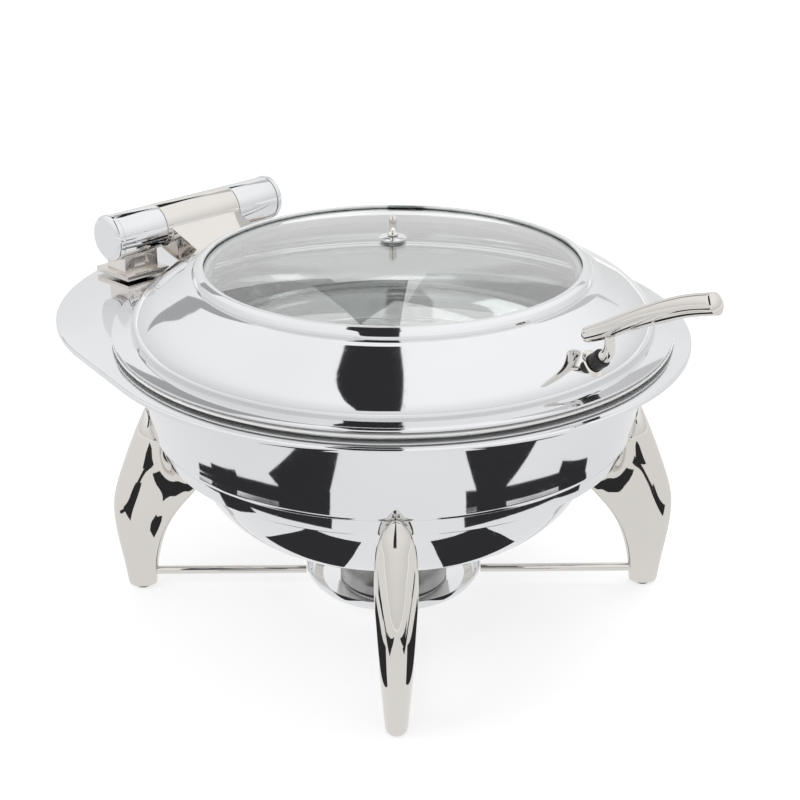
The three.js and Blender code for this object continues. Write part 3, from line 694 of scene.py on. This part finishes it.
class CHAFER_OT_lid_shell(bpy.types.Operator):
    """The lid's domed shell with its flat lip"""

    bl_idname = "chafer.lid_shell"
    bl_label = "Lid Shell"

    def execute(self, context):
        shell = turned("polished_lid_shell", dome_line())
        sheet_metal(shell, SHEET * MM)
        done(shell, "lid", "polished", "lid_shell")
        return {"FINISHED"}


class CHAFER_OT_window(bpy.types.Operator):
    """The domed glass, its steel ring, its gasket and the ring that clamps it from inside"""

    bl_idname = "chafer.window"
    bl_label = "Window"

    def execute(self, context):
        low = least("glass_window", "z")
        thick = 3.7
        rise = GLASS_TOP - (low + thick)
        sphere = (GLASS_R ** 2 + rise ** 2) / (2 * rise)
        radii = [3.4 + (GLASS_R - 4.1) * (i / 24) for i in range(25)]
        top = [(r, GLASS_TOP - sphere + math.sqrt(sphere ** 2 - r ** 2)) for r in radii]
        edge_top = top[-1][1]
        rim = [
            (GLASS_R - 0.2, edge_top - 0.7), (GLASS_R, edge_top - thick / 2),
            (GLASS_R - 0.2, edge_top + 0.7 - thick),
        ]
        under = [(r, z - thick) for r, z in reversed(top)]
        glass = turned("clear_glass_window", [*top, *rim, *under, top[0]])
        done(glass, "lid", "glass", "glass_window")
        base, ring_top = heights("window_ring")
        edge = turned_ring("polished_window_ring", [
            (GLASS_R + 0.3, base, 0), (SEAT_R - 0.6, base, 0.3), (SEAT_R - 0.6, base + 3.6, 1.6),
            (SEAT_R - 2.4, ring_top - 1.6, 2.2), (GLASS_R - 0.6, ring_top, 1.6),
            (GLASS_R - 3.8, ring_top - 0.1, 0.5), (GLASS_R - 3.7, ring_top - 2.0, 0.3),
            (GLASS_R + 0.3, ring_top - 3.0, 0),
        ])
        done(edge, "lid", "polished", "window_ring")
        for node, name, finish in (
            ("window_gasket", "grey_window_gasket", "silicone"),
            ("window_clamp_ring", "satin_clamp_ring", "satin"),
        ):
            outer = most(node, "x")
            inner = outer - (6.7 if node == "window_gasket" else 8.4)
            piece = turned_ring(name, band(inner, outer, *heights(node)))
            done(piece, "lid", finish, node)
        return {"FINISHED"}


class CHAFER_OT_vent(bpy.types.Operator):
    """The pin at the window's centre with its washer and seal"""

    bl_idname = "chafer.vent"
    bl_label = "Vent Pin"

    def execute(self, context):
        z0, z1 = heights("vent_washer")
        washer = turned_ring("polished_vent_washer", [
            (3.0, z0, 0), (10, z0, 0.3), (10, z0 + 0.8, 0.4), (6.2, z0 + 1.7, 2), (3.0, z1, 0),
        ], 64)
        done(washer, "lid", "polished", "vent_washer")
        pin = turned_solid("polished_vent_pin", [
            (0.2, z1 - 12, 0), (2.6, z1 - 12, 0.4), (2.6, z1 + 0.3, 0), (4.2, z1 + 0.3, 0.4),
            (4.2, z1 + 1.8, 0.7), (2.9, z1 + 2.8, 0.8), (2.75, z1 + 9, 3), (3.0, z1 + 12.4, 0.6),
            (2.2, z1 + 14.3, 1.2), (0.2, z1 + 14.45, 0),
        ], 48)
        done(pin, "lid", "cast", "vent_pin")
        z0, z1 = heights("vent_seal")
        seal = turned_ring("grey_vent_seal", [
            (3.0, z0, 0.2), (8.8, z0, 0.3), (8.8, z1, 0.3), (3.0, z1, 0.2),
        ], 64)
        done(seal, "lid", "silicone", "vent_seal")
        return {"FINISHED"}


# ---------- handle ----------
class CHAFER_OT_handle(bpy.types.Operator):
    """The tapered bar on its bent neck, with the collar, black as painted shade under the bar, and the
    rosette at its foot
    """

    bl_idname = "chafer.handle"
    bl_label = "Lid Handle"

    def execute(self, context):
        foot, normal = handle_foot()
        tilt = (math.atan2(-normal[0], normal[1]), 0, 0)
        tip_y, top_z = least("handle_bar", "y"), most("handle_bar", "z")
        path = smooth_through([
            (-176.9, top_z - 54), (-193.5, top_z - 45.6), (-223.8, top_z - 28.2), (-253, top_z - 14.3),
            (tip_y + 2.6, top_z - 6.9),
        ], 7)
        rise = math.atan2(path[-1][1] - path[0][1], path[0][0] - path[-1][0])
        count = len(path) - 1
        stations = []
        for i, (y, z) in enumerate(path):
            share = i / count
            radius = 5.3 + 2.1 * min(1.0, share / 0.6)
            end = min(share, 1 - share) * count
            radius *= math.sqrt(1 - max(0.0, 1 - (end + 0.12) / 1.3) ** 2)
            stations.append(((0, y, z), (radius, radius)))
        bar = drawn("polished_handle_bar", stations, 40, tilt=(math.pi / 2 - rise, 0, 0))
        start = [foot[i] + normal[i] * 10.9 for i in range(2)]
        neck_path = smooth_through([
            tuple(start), (start[0] + normal[0] * 4.4, start[1] + normal[1] * 4.4),
            (start[0] + normal[0] * 6.6, start[1] + normal[1] * 6.6 + 4.6),
            (start[0] + normal[0] * 5.6, start[1] + normal[1] * 5.6 + 13),
        ], 4)
        neck = drawn("neck", [((0, y, z), (4.6, 4.6)) for y, z in neck_path], 32, tilt=tilt)
        carve(bar, "UNION", neck)
        done(bar, "lid", "cast", "handle_bar", smooth=60)
        for node, name, finish, corners in (
            ("handle_rosette", "polished_handle_rosette", "cast",
             [(2.4, 0.3, 0.2), (10, 0.3, 0.2), (10, 1.1, 0.7), (7.6, 2.3, 1.2), (2.4, 2.3, 0.2)]),
            # The collar is black plastic, and its black is painted shade: it stands in for the shadow under
            # the bar's neck.
            ("handle_collar", "black_handle_collar", "black",
             [(2.4, 2.6, 0.2), (6.6, 2.6, 0.6), (6.2, 6.4, 3), (6.6, 10.5, 0.7), (2.4, 10.5, 0.2)]),
        ):
            piece = turned_ring(name, corners, 48)
            settle(piece, (0, *foot), tilt)
            done(piece, "lid", finish, node)
        return {"FINISHED"}


def handle_foot():
    """Where the handle stands on the dome, as (y, z), and the dome's outward normal there."""
    low, high = (DOME_R - 3.2, 236.6), (DOME_R - 8.7, 242.8)
    normal = Vector((-(high[1] - low[1]), low[0] - high[0])).normalized()
    return (-(low[0] + high[0]) / 2, (low[1] + high[1]) / 2), tuple(normal)


# ---------- hinge ----------
KNUCKLE_HALF = 37.6
BARREL_HALF = 79.6
ARM_HALF = 34
POST_X = 62


class CHAFER_OT_hinge(bpy.types.Operator):
    """The fixed barrels with their end caps and brackets, and the lid's arm with the middle barrel"""

    bl_idname = "chafer.hinge"
    bl_label = "Hinge"

    def execute(self, context):
        radius = context.scene.chafer_sizes.barrel_radius / MM
        for side, sign in (("left", -1), ("right", 1)):
            mirror = (0, 0, 0) if sign > 0 else (0, 0, math.pi)
            tube = turned_ring(f"polished_hinge_barrel_{side}", [
                (12, KNUCKLE_HALF + 0.4, 0), (radius, KNUCKLE_HALF + 0.4, 0.5), (radius, BARREL_HALF, 0.3),
                (12, BARREL_HALF, 0),
            ], 96)
            cap = turned_solid(f"polished_hinge_cap_{side}", [
                (0.2, BARREL_HALF + 0.3, 0), (radius + 0.6, BARREL_HALF + 0.3, 0.5),
                (radius + 0.6, BARREL_HALF + 4.6, 2.6), (radius - 3.4, BARREL_HALF + 7.2, 4),
                (0.2, BARREL_HALF + 7.3, 0),
            ], 96)
            for piece, node in ((tube, "hinge_barrel"), (cap, "hinge_cap")):
                settle(piece, (0, 0, 0), (0, math.pi / 2, 0))
                settle(piece, (0, HINGE_Y, HINGE_Z), mirror)
                done(piece, "pans", "polished", f"{node}_{side}")
            plate = (POST_X - 21, -20, RIM_Z + 0.3), (POST_X + 20, 22, RIM_Z + 4.3)
            bracket = block(f"polished_hinge_bracket_{side}", *plate)
            post = block("post", (POST_X - 16, -12, RIM_Z + 2), (POST_X + 16, 12, HINGE_Z - 7))
            carve(bracket, "UNION", post)
            saddle = rod_x("saddle", radius + 0.3, 0, BARREL_HALF + 30, rounding=0)
            settle(saddle, (0, -HINGE_Y, 0))
            carve(bracket, "DIFFERENCE", saddle)
            pocket = block("pocket", (POST_X - 7, -14, RIM_Z + 8), (POST_X + 7, -8, RIM_Z + 15))
            carve(bracket, "DIFFERENCE", pocket)
            soften(bracket)
            settle(bracket, (0, 0, 0), mirror)
            if sign < 0:
                only(bracket)
                mode("EDIT")
                bpy.ops.mesh.select_all(action="SELECT")
                bpy.ops.transform.resize(value=(1, -1, 1), center_override=(0, 0, 0))
                bpy.ops.mesh.normals_make_consistent(inside=False)
                mode("OBJECT")
            settle(bracket, (0, HINGE_Y, 0))
            done(bracket, "pans", "tumbled", f"hinge_bracket_{side}")
        lid_arm(radius)
        return {"FINISHED"}


def lid_arm(radius):
    """The casting that joins the middle barrel to the back of the dome."""
    low, high = HINGE_Z - 25.3, HINGE_Z + 9
    arm = block("polished_lid_arm", (-ARM_HALF, DOME_R - 12, low), (ARM_HALF, HINGE_Y + 4, high))
    slice_off(arm, (0, HINGE_Y - 31, HINGE_Z - 3.2), (0, -0.34, 0.94))
    slice_off(arm, (0, HINGE_Y - 22, HINGE_Z - 24.4), (0, 0.29, -0.957))
    inside = [(r + 0.25, z + 0.25) for r, z in dome_line()]
    line = [(2, 200), (inside[0][0] + 1, 200), *inside, (2, SEAT_Z + 0.3)]
    keep_out = turned("keep_out", line, 96, (True, True))
    carve(arm, "DIFFERENCE", keep_out)
    knuckle = rod_x("knuckle", radius, -KNUCKLE_HALF, KNUCKLE_HALF, 96, rounding=0.5)
    carve(arm, "UNION", knuckle)
    carve(arm, "DIFFERENCE", rod_x("bore", 6.3, -KNUCKLE_HALF - 5, KNUCKLE_HALF + 5, 48, rounding=0))
    soften(arm, 0.8 * MM, 3, 30)
    done(arm, "lid", "cast", "lid_arm")


# ---------- stand ----------
RING_R = 176
FOOT_R = 198.5
FOOT_Z = 1.2
LEG_TIP_Z = STEP_Z + 3.6

# A leg seen from the side: height, inner edge, outer edge and width.
LEG_LEVELS = [
    (FOOT_Z, 187.6, 209.4, 15.2), (3, 187.4, 210.0, 16.0), (16, 186.5, 211.2, 17.6),
    (32, 183.4, 213.7, 21.2), (48, 178.6, 216.2, 24.4), (60, 172.2, 217.2, 26.6),
    (70, 164.8, 217.5, 28.4), (79, 156.4, 216.4, 29.8), (86, 150.6, 214.8, 31.0),
    (94, 150.8, 212.4, 32.2), (104, 154.2, 208.8, 33.4), (113, 157.6, 205.4, 33.0),
    (122, 161.6, 202.0, 31.2), (129, 166.4, 199.0, 28.6), (134, 172.8, 197.0, 26.0),
    (138.5, 176.6, 195.0, 23.2), (143, 176.8, 193.0, 20.0), (147, 177.4, 191.0, 15.6),
    (150.2, 179.8, 189.6, 10.6), (152.4, 182.6, 188.6, 6.2), (LEG_TIP_Z - 0.1, 184.6, 187.8, 3.2),
]
FIN_BANDS = [(0.0, 0.14, 0.40), (0.14, 0.26, 0.55), (0.26, 0.38, 0.68), (0.38, 0.5, 0.80), (0.5, 0.62, 0.90)]


def leg_span(z):
    """Inner and outer edge of a leg at a height."""
    for (z0, in0, out0, _), (z1, in1, out1, _) in zip(LEG_LEVELS, LEG_LEVELS[1:]):
        if z <= z1:
            t = (z - z0) / (z1 - z0)
            return in0 + (in1 - in0) * t, out0 + (out1 - out0) * t
    return LEG_LEVELS[-1][1:3]


def model_leg():
    """One leg along +X: a swept oval that is thinned towards the pans, like a fin."""
    stations = []
    for z, inner, outer, width in LEG_LEVELS:
        stations.append((((inner + outer) / 2, 0, z), ((outer - inner) / 2, width / 2)))
    leg = drawn("leg", stations, 36)
    for start, end, share in FIN_BANDS:
        for v in leg.data.vertices:
            inner, outer = leg_span(v.co.z / MM)
            place = (v.co.x / MM - inner) / (outer - inner)
            wide = outer - inner > 40
            v.select = wide and start - 0.001 <= place < end
        edit_keep(leg)
        bpy.ops.transform.resize(value=(1, share, 1), center_override=(0, 0, 0))
        mode("OBJECT")
    apply_modifier(leg, "SMOOTH", factor=0.5, iterations=4, use_x=False, use_z=False)
    apply_modifier(leg, "SUBSURF", levels=1, render_levels=1)
    return leg


def edit_keep(obj):
    """Edit mode with the vertices that code has marked, and nothing else, selected."""
    marked = [v.index for v in obj.data.vertices if v.select]
    edit(obj)
    bpy.ops.mesh.select_mode(type="VERT")
    bpy.ops.mesh.select_all(action="DESELECT")
    mode("OBJECT")
    for i in marked:
        obj.data.vertices[i].select = True
    mode("EDIT")


class CHAFER_OT_stand(bpy.types.Operator):
    """The stand's ring, four cast legs, their pads and the stay bars"""

    bl_idname = "chafer.stand"
    bl_label = "Stand"

    def execute(self, context):
        ring = turned_ring("polished_stand_ring", [
            (RING_R - 3.6, RING_TOP - 13.5, 0.4), (RING_R - 1.6, RING_TOP - 13.5, 0.9),
            (RING_R, RING_TOP - 1.8, 1.2), (RING_R - 1, RING_TOP, 0.6), (RING_R - 2.6, RING_TOP, 0.4),
        ])
        done(ring, "stand", "polished", "stand_ring")
        leg = model_leg()
        pad = turned_solid("pad", [
            (0.2, 0, 0), (5.4, 0, 0.5), (5.5, FOOT_Z + 0.2, 0.3), (5.2, FOOT_Z + 2, 0.3),
            (0.2, FOOT_Z + 2, 0),
        ], 40)
        settle(pad, (FOOT_R, 0, 0))
        low, high = heights("stay_bar_rear_right")
        bar_r = (high - low) / 2
        inner, outer = TRAY_R - 0.2, leg_span(low + bar_r)[0] + 6.5
        bar = turned_solid("bar", peg(bar_r, inner, outer, 0.5), 32)
        settle(bar, (0, 0, low + bar_r), (0, math.pi / 2, 0))
        for corner, angle in LEG_ANGLES.items():
            for master, name, finish, node in (
                (leg, "polished_leg", "cast", "leg"), (pad, "rubber_foot_pad", "rubber", "foot_pad"),
                (bar, "polished_stay_bar", "cast", "stay_bar"),
            ):
                piece = duplicate(master, f"{name}_{corner}")
                settle(piece, (0, 0, 0), (0, 0, math.radians(angle)))
                done(piece, "stand", finish, f"{node}_{corner}", smooth=60)
        for master in (leg, pad, bar):
            bpy.data.objects.remove(master)
        return {"FINISHED"}


# ---------- burner ----------
PIVOT_Y = 33.0
KNOB_Y = -22
MOUTH_R = 24


class CHAFER_OT_burner(bpy.types.Operator):
    """The tray, the fuel cup with its cover, and the swivelling shutter with its rivet and knob"""

    bl_idname = "chafer.burner"
    bl_label = "Burner"

    def execute(self, context):
        tray = turned("polished_burner_tray", rounded([
            (2, TRAY_Z, 0), (44, TRAY_Z, 8), (56, TRAY_Z + 1.2, 10), (64.4, TRAY_Z + 4.4, 6),
            (68.2, TRAY_Z + 10, 6), (TRAY_R - 0.1, TRAY_Z + 13.9, 0),
        ], steps=5), 120, caps=(True, False))
        sheet_metal(tray, 1.2 * MM)
        done(tray, "stand", "polished", "burner_tray")
        cup_r = most("fuel_cup", "y")
        cup = turned("satin_fuel_cup", rounded([
            (2, CUP_Z, 0), (cup_r, CUP_Z, 2), (cup_r, CUP_TOP - 8, 0), (cup_r - 0.5, CUP_TOP - 7, 1),
            (cup_r - 0.5, CUP_TOP - 5, 1), (cup_r, CUP_TOP - 4, 0), (cup_r, CUP_TOP, 0),
        ]), 96, caps=(True, False))
        sheet_metal(cup, 1.1 * MM)
        done(cup, "stand", "satin", "fuel_cup")
        r = most("burner_cover", "y")
        z0, z1 = heights("burner_cover")
        cover = turned_ring("satin_burner_cover", [
            (r - 1.2, z0, 0.3), (r, z0, 0.3), (r, z1, 1.6), (MOUTH_R + 1.6, z1, 0.6),
            (MOUTH_R, z1 - 0.2, 0.5),
            (MOUTH_R, z1 - 1.2, 0.2), (r - 1.2, z1 - 1.2, 0.4),
        ], 96)
        done(cover, "stand", "satin", "burner_cover")
        z0, z1 = heights("burner_shutter")
        plate = turned_solid("polished_shutter", peg(-least("burner_shutter", "y"), z0, z1, 0.4), 96)
        ear = turned_solid("ear", peg(5.4, z0, z1, 0.4), 48)
        settle(ear, (0, PIVOT_Y, 0))
        bridge = block("bridge", (-8, 20, z0 + 0.01), (8, PIVOT_Y - 1, z1 - 0.01))
        carve(plate, "UNION", ear)
        carve(plate, "UNION", bridge)
        hole = turned_solid("hole", peg(2.2, z0 - 3, z1 + 3), 32)
        knob_hole = duplicate(hole, "knob_hole")
        settle(hole, (0, PIVOT_Y, 0))
        settle(knob_hole, (0, KNOB_Y, 0))
        carve(plate, "DIFFERENCE", hole, knob_hole)
        done(plate, "shutter", "polished", "burner_shutter")
        knob = turned_solid("black_shutter_knob", [
            (0.2, z0 + 0.1, 0), (1.5, z0 + 0.1, 0.2), (1.5, z1 + 0.3, 0), (4, z1 + 0.3, 0.5),
            (3.2, z1 + 3.8, 3), (5, z1 + 8.3, 1.6), (4, z1 + 9.8, 1.2), (0.2, z1 + 10.2, 0),
        ], 48)
        settle(knob, (0, KNOB_Y, 0))
        done(knob, "shutter", "black", "shutter_knob")
        z0, z1 = heights("shutter_rivet")
        rivet = turned_solid("satin_shutter_rivet", [
            (0.2, z0, 0), (3.4, z0, 0.5), (3.4, z0 + 1.6, 0.3), (1.9, z0 + 1.6, 0), (1.9, z1 - 1.7, 0),
            (4, z1 - 1.7, 0.3), (3.4, z1 - 0.3, 1.4), (0.2, z1, 0),
        ], 40)
        settle(rivet, (0, PIVOT_Y, 0))
        done(rivet, "stand", "satin", "shutter_rivet")
        return {"FINISHED"}


# ---------- screws and hidden parts ----------
class CHAFER_OT_hidden_parts(bpy.types.Operator):
    """The finish of the frame's own small parts, which show only from inside or below"""

    bl_idname = "chafer.hidden_parts"
    bl_label = "Hidden Parts"

    def execute(self, context):
        for name, obj in frame["nodes"].items():
            if obj.hide_render:
                continue
            finish = "nylon" if "bushing" in name else "satin"
            obj.data.materials.clear()
            obj.data.materials.append(material(finish))
        return {"FINISHED"}


# ---------- stage ----------
DARK = 0.03
CEILING, SHADE, TONE, FLOOR = 2.0, 2.01, 0.001, 0.002

# Studio cards: name, height, brightness and four corners, as (to the camera's right, towards the camera).
# Metres throughout. The first one also shows through the window.
CARDS = [
    ("ceiling_gap", CEILING, DARK, [(-0.30, -0.6), (0.04, -0.6), (-1.4, 5.5), (0.30, 5.5)]),
    ("window_gap", CEILING, DARK, [(-0.12, -1.3), (0.02, -1.3), (-0.50, -2.5), (0.08, -2.5)]),
    ("window_shade_left", SHADE, 0.42, [(-1.1, -1.9), (-0.15, -1.7), (-7.0, -6.5), (-0.40, -2.7)]),
    ("window_shade_right", SHADE, 0.62, [(0.06, -1.8), (0.9, -1.9), (0.20, -2.8), (2.6, -4.2)]),
    ("floor_tone", TONE, 0.86, [(-4, -4), (4, -4), (-4, 4), (4, 4)]),
    ("floor_gap_left", FLOOR, DARK, [(-0.28, 0.27), (-0.125, 0.27), (-0.268, 0.8), (-0.225, 0.8)]),
    ("floor_gap_right", FLOOR, DARK, [(0.17, 0.27), (0.40, 0.27), (0.262, 0.62), (0.30, 0.62)]),
    ("bowl_gap_left", FLOOR, DARK, [(-0.145, 0.055), (-0.045, 0.055), (-0.155, 0.21), (-0.05, 0.21)]),
    ("bowl_gap_right", FLOOR, DARK, [(0.045, 0.05), (0.13, 0.05), (0.06, 0.21), (0.17, 0.21)]),
    ("leg_gap_left", FLOOR, DARK, [(-0.36, 0.10), (-0.25, 0.10), (-0.33, 0.18), (-0.24, 0.18)]),
    ("leg_gap_right", FLOOR, DARK, [(0.31, 0.05), (0.37, 0.05), (0.30, 0.15), (0.36, 0.15)]),
]

# Tapering arcs round the stand: name, first and last angle from the camera's side, in degrees.
ARCS = [("step_shadow_left", -82, -22), ("step_shadow_right", 80, 26)]
ARC_INNER_START, ARC_INNER_STOP, ARC_OUTER = 0.345, 0.292, 0.362
ARC_STEPS = 24

# Area lamps: name, place (to the right, towards the camera, up), size, and share of the stage's lamp power.
LAMPS = [("top_softbox", (0.3, -0.5, 1.9), 1.6, 1.0), ("side_softbox", (-1.6, 0.6, 1.3), 1.0, 0.4)]
CAMERA_AIM = Vector((3.6, -3.7, 158.4)) * MM


def studio(lateral, forward, height=0.0):
    """A point by its place to the camera's right, its place towards the camera, and its height, in metres."""
    turn = bpy.context.scene.chafer_stage.azimuth
    right = Vector((math.cos(turn), math.sin(turn), 0))
    near = Vector((math.sin(turn), -math.cos(turn), 0))
    return right * lateral + near * forward + Vector((0, 0, height))


def card(name, height, brightness, corners):
    """A flat studio card that shows only in mirrors: the camera and the light pass through it."""
    start_clean()
    bpy.ops.mesh.primitive_plane_add(size=1)
    obj = bpy.context.object
    obj.name = name
    for v, corner in zip(obj.data.vertices, corners):
        v.co = studio(*corner, height)
    for ray in ("camera", "shadow", "diffuse"):
        setattr(obj, f"visible_{ray}", False)
    obj.visible_transmission = name == CARDS[0][0]
    paint = Paint(name)
    paint.set(Base_Color=(0, 0, 0, 1), Roughness=1.0, Specular_IOR_Level=0.0,
              Emission_Color=(brightness, brightness, brightness + 0.003, 1), Emission_Strength=1.0)
    obj.data.materials.append(paint.material)
    return obj


def dark_arc(name, start, stop):
    """A dark card in the shape of a tapering arc."""
    arc = card(name, FLOOR, DARK, [(0, 0)] * 4)
    inside, outside = [], []
    for step in range(ARC_STEPS + 1):
        share = step / ARC_STEPS
        angle = math.radians(start + (stop - start) * share)
        inner = ARC_INNER_START + (ARC_INNER_STOP - ARC_INNER_START) * share
        for line, radius in ((inside, inner), (outside, ARC_OUTER)):
            line.append(studio(radius * math.sin(angle), radius * math.cos(angle), FLOOR))
    mesh = bpy.data.meshes.new(name)
    row = ARC_STEPS + 1
    faces = [(i, i + 1, i + row + 1, i + row) for i in range(ARC_STEPS)]
    mesh.from_pydata([*inside, *outside], [], faces)
    mesh.materials.append(bpy.data.materials[name])
    arc.data = mesh


def lay_floor(stage):
    start_clean()
    bpy.ops.mesh.primitive_plane_add(size=40, location=(0, 0, 0))
    floor = bpy.context.object
    floor.name = "floor"
    paint = Paint("pale_floor")
    paint.set(Base_Color=(*stage.floor, 1), Roughness=0.8, Specular_IOR_Level=0.1,
              Emission_Color=(1, 1, 1, 1), Emission_Strength=stage.glow)
    floor.data.materials.append(paint.material)


def light_surround(scene, stage):
    """A white surround that brightens from the horizon to the zenith."""
    scene.world = bpy.data.worlds.new("surround")
    scene.world.use_nodes = True
    sky = Paint("surround", scene.world.node_tree)
    place = sky.node("ShaderNodeTexCoord", out="Generated")
    height = sky.node("ShaderNodeSeparateXYZ", {}, {0: place}, out=2)
    strength = height.ramp(-0.1, 0.75) * (stage.zenith - stage.horizon) + stage.horizon
    background = scene.world.node_tree.nodes["Background"]
    background.inputs["Color"].default_value = (1, 1, 1, 1)
    sky.feed(background.inputs["Strength"], strength)


def hang_lamps(stage):
    for name, place, size, share in LAMPS:
        start_clean()
        location = studio(*place)
        bpy.ops.object.light_add(type="AREA", location=location)
        lamp = bpy.context.object
        lamp.name = name
        lamp.data.size, lamp.data.energy = size, stage.lamp * share
        lamp.visible_glossy = False
        lamp.rotation_mode = "QUATERNION"
        lamp.rotation_quaternion = (Vector((0, 0, 0.15)) - location).to_track_quat("-Z", "Y")


def place_camera(scene, stage):
    back = studio(0, math.cos(stage.elevation), math.sin(stage.elevation))
    bpy.ops.object.camera_add(location=CAMERA_AIM + back * stage.distance)
    camera = bpy.context.object
    camera.name = "product_camera"
    camera.rotation_mode = "QUATERNION"
    camera.rotation_quaternion = (-back).to_track_quat("-Z", "Y")
    camera.data.lens, camera.data.sensor_width = stage.lens, 36
    scene.camera = camera


class CHAFER_OT_stage(bpy.types.Operator):
    """The pale floor, the soft light, the studio cards that the steel mirrors, and the camera"""

    bl_idname = "chafer.stage"
    bl_label = "Stage"

    def execute(self, context):
        scene, stage = context.scene, context.scene.chafer_stage
        lay_floor(stage)
        light_surround(scene, stage)
        hang_lamps(stage)
        for row in CARDS:
            card(*row)
        for row in ARCS:
            dark_arc(*row)
        place_camera(scene, stage)
        scene.view_settings.view_transform = "Standard"
        return {"FINISHED"}


class CHAFER_PT_panel(bpy.types.Panel):
    """Lists the operators that build the chafing dish"""

    bl_idname = "CHAFER_PT_panel"
    bl_label = "Chafing Dish"
    bl_space_type = "VIEW_3D"
    bl_region_type = "UI"
    bl_category = "Chafer"

    def draw(self, context):
        for group in ("chafer_sizes", "chafer_looks", "chafer_stage"):
            settings = getattr(context.scene, group)
            for key in settings.__annotations__:
                self.layout.prop(settings, key)
        for operator in OPERATORS:
            self.layout.operator(operator.bl_idname)


OPERATORS = (
    CHAFER_OT_stage, CHAFER_OT_water_pan, CHAFER_OT_food_pan, CHAFER_OT_lid_shell, CHAFER_OT_window,
    CHAFER_OT_vent, CHAFER_OT_handle, CHAFER_OT_hinge, CHAFER_OT_stand, CHAFER_OT_burner,
    CHAFER_OT_hidden_parts,
)
GROUPS = {"chafer_sizes": ChaferSizes, "chafer_looks": ChaferLooks, "chafer_stage": ChaferStage}


def register():
    for cls in (*GROUPS.values(), *OPERATORS, CHAFER_PT_panel):
        bpy.utils.register_class(cls)
    for name, group in GROUPS.items():
        setattr(bpy.types.Scene, name, PointerProperty(type=group))


def unregister():
    for name in GROUPS:
        delattr(bpy.types.Scene, name)
    for cls in reversed((*GROUPS.values(), *OPERATORS, CHAFER_PT_panel)):
        bpy.utils.unregister_class(cls)


def main():
    register()
    for operator in OPERATORS:
        group, name = operator.bl_idname.split(".")
        getattr(getattr(bpy.ops, group), name)()


if __name__ == "__main__":
    main()
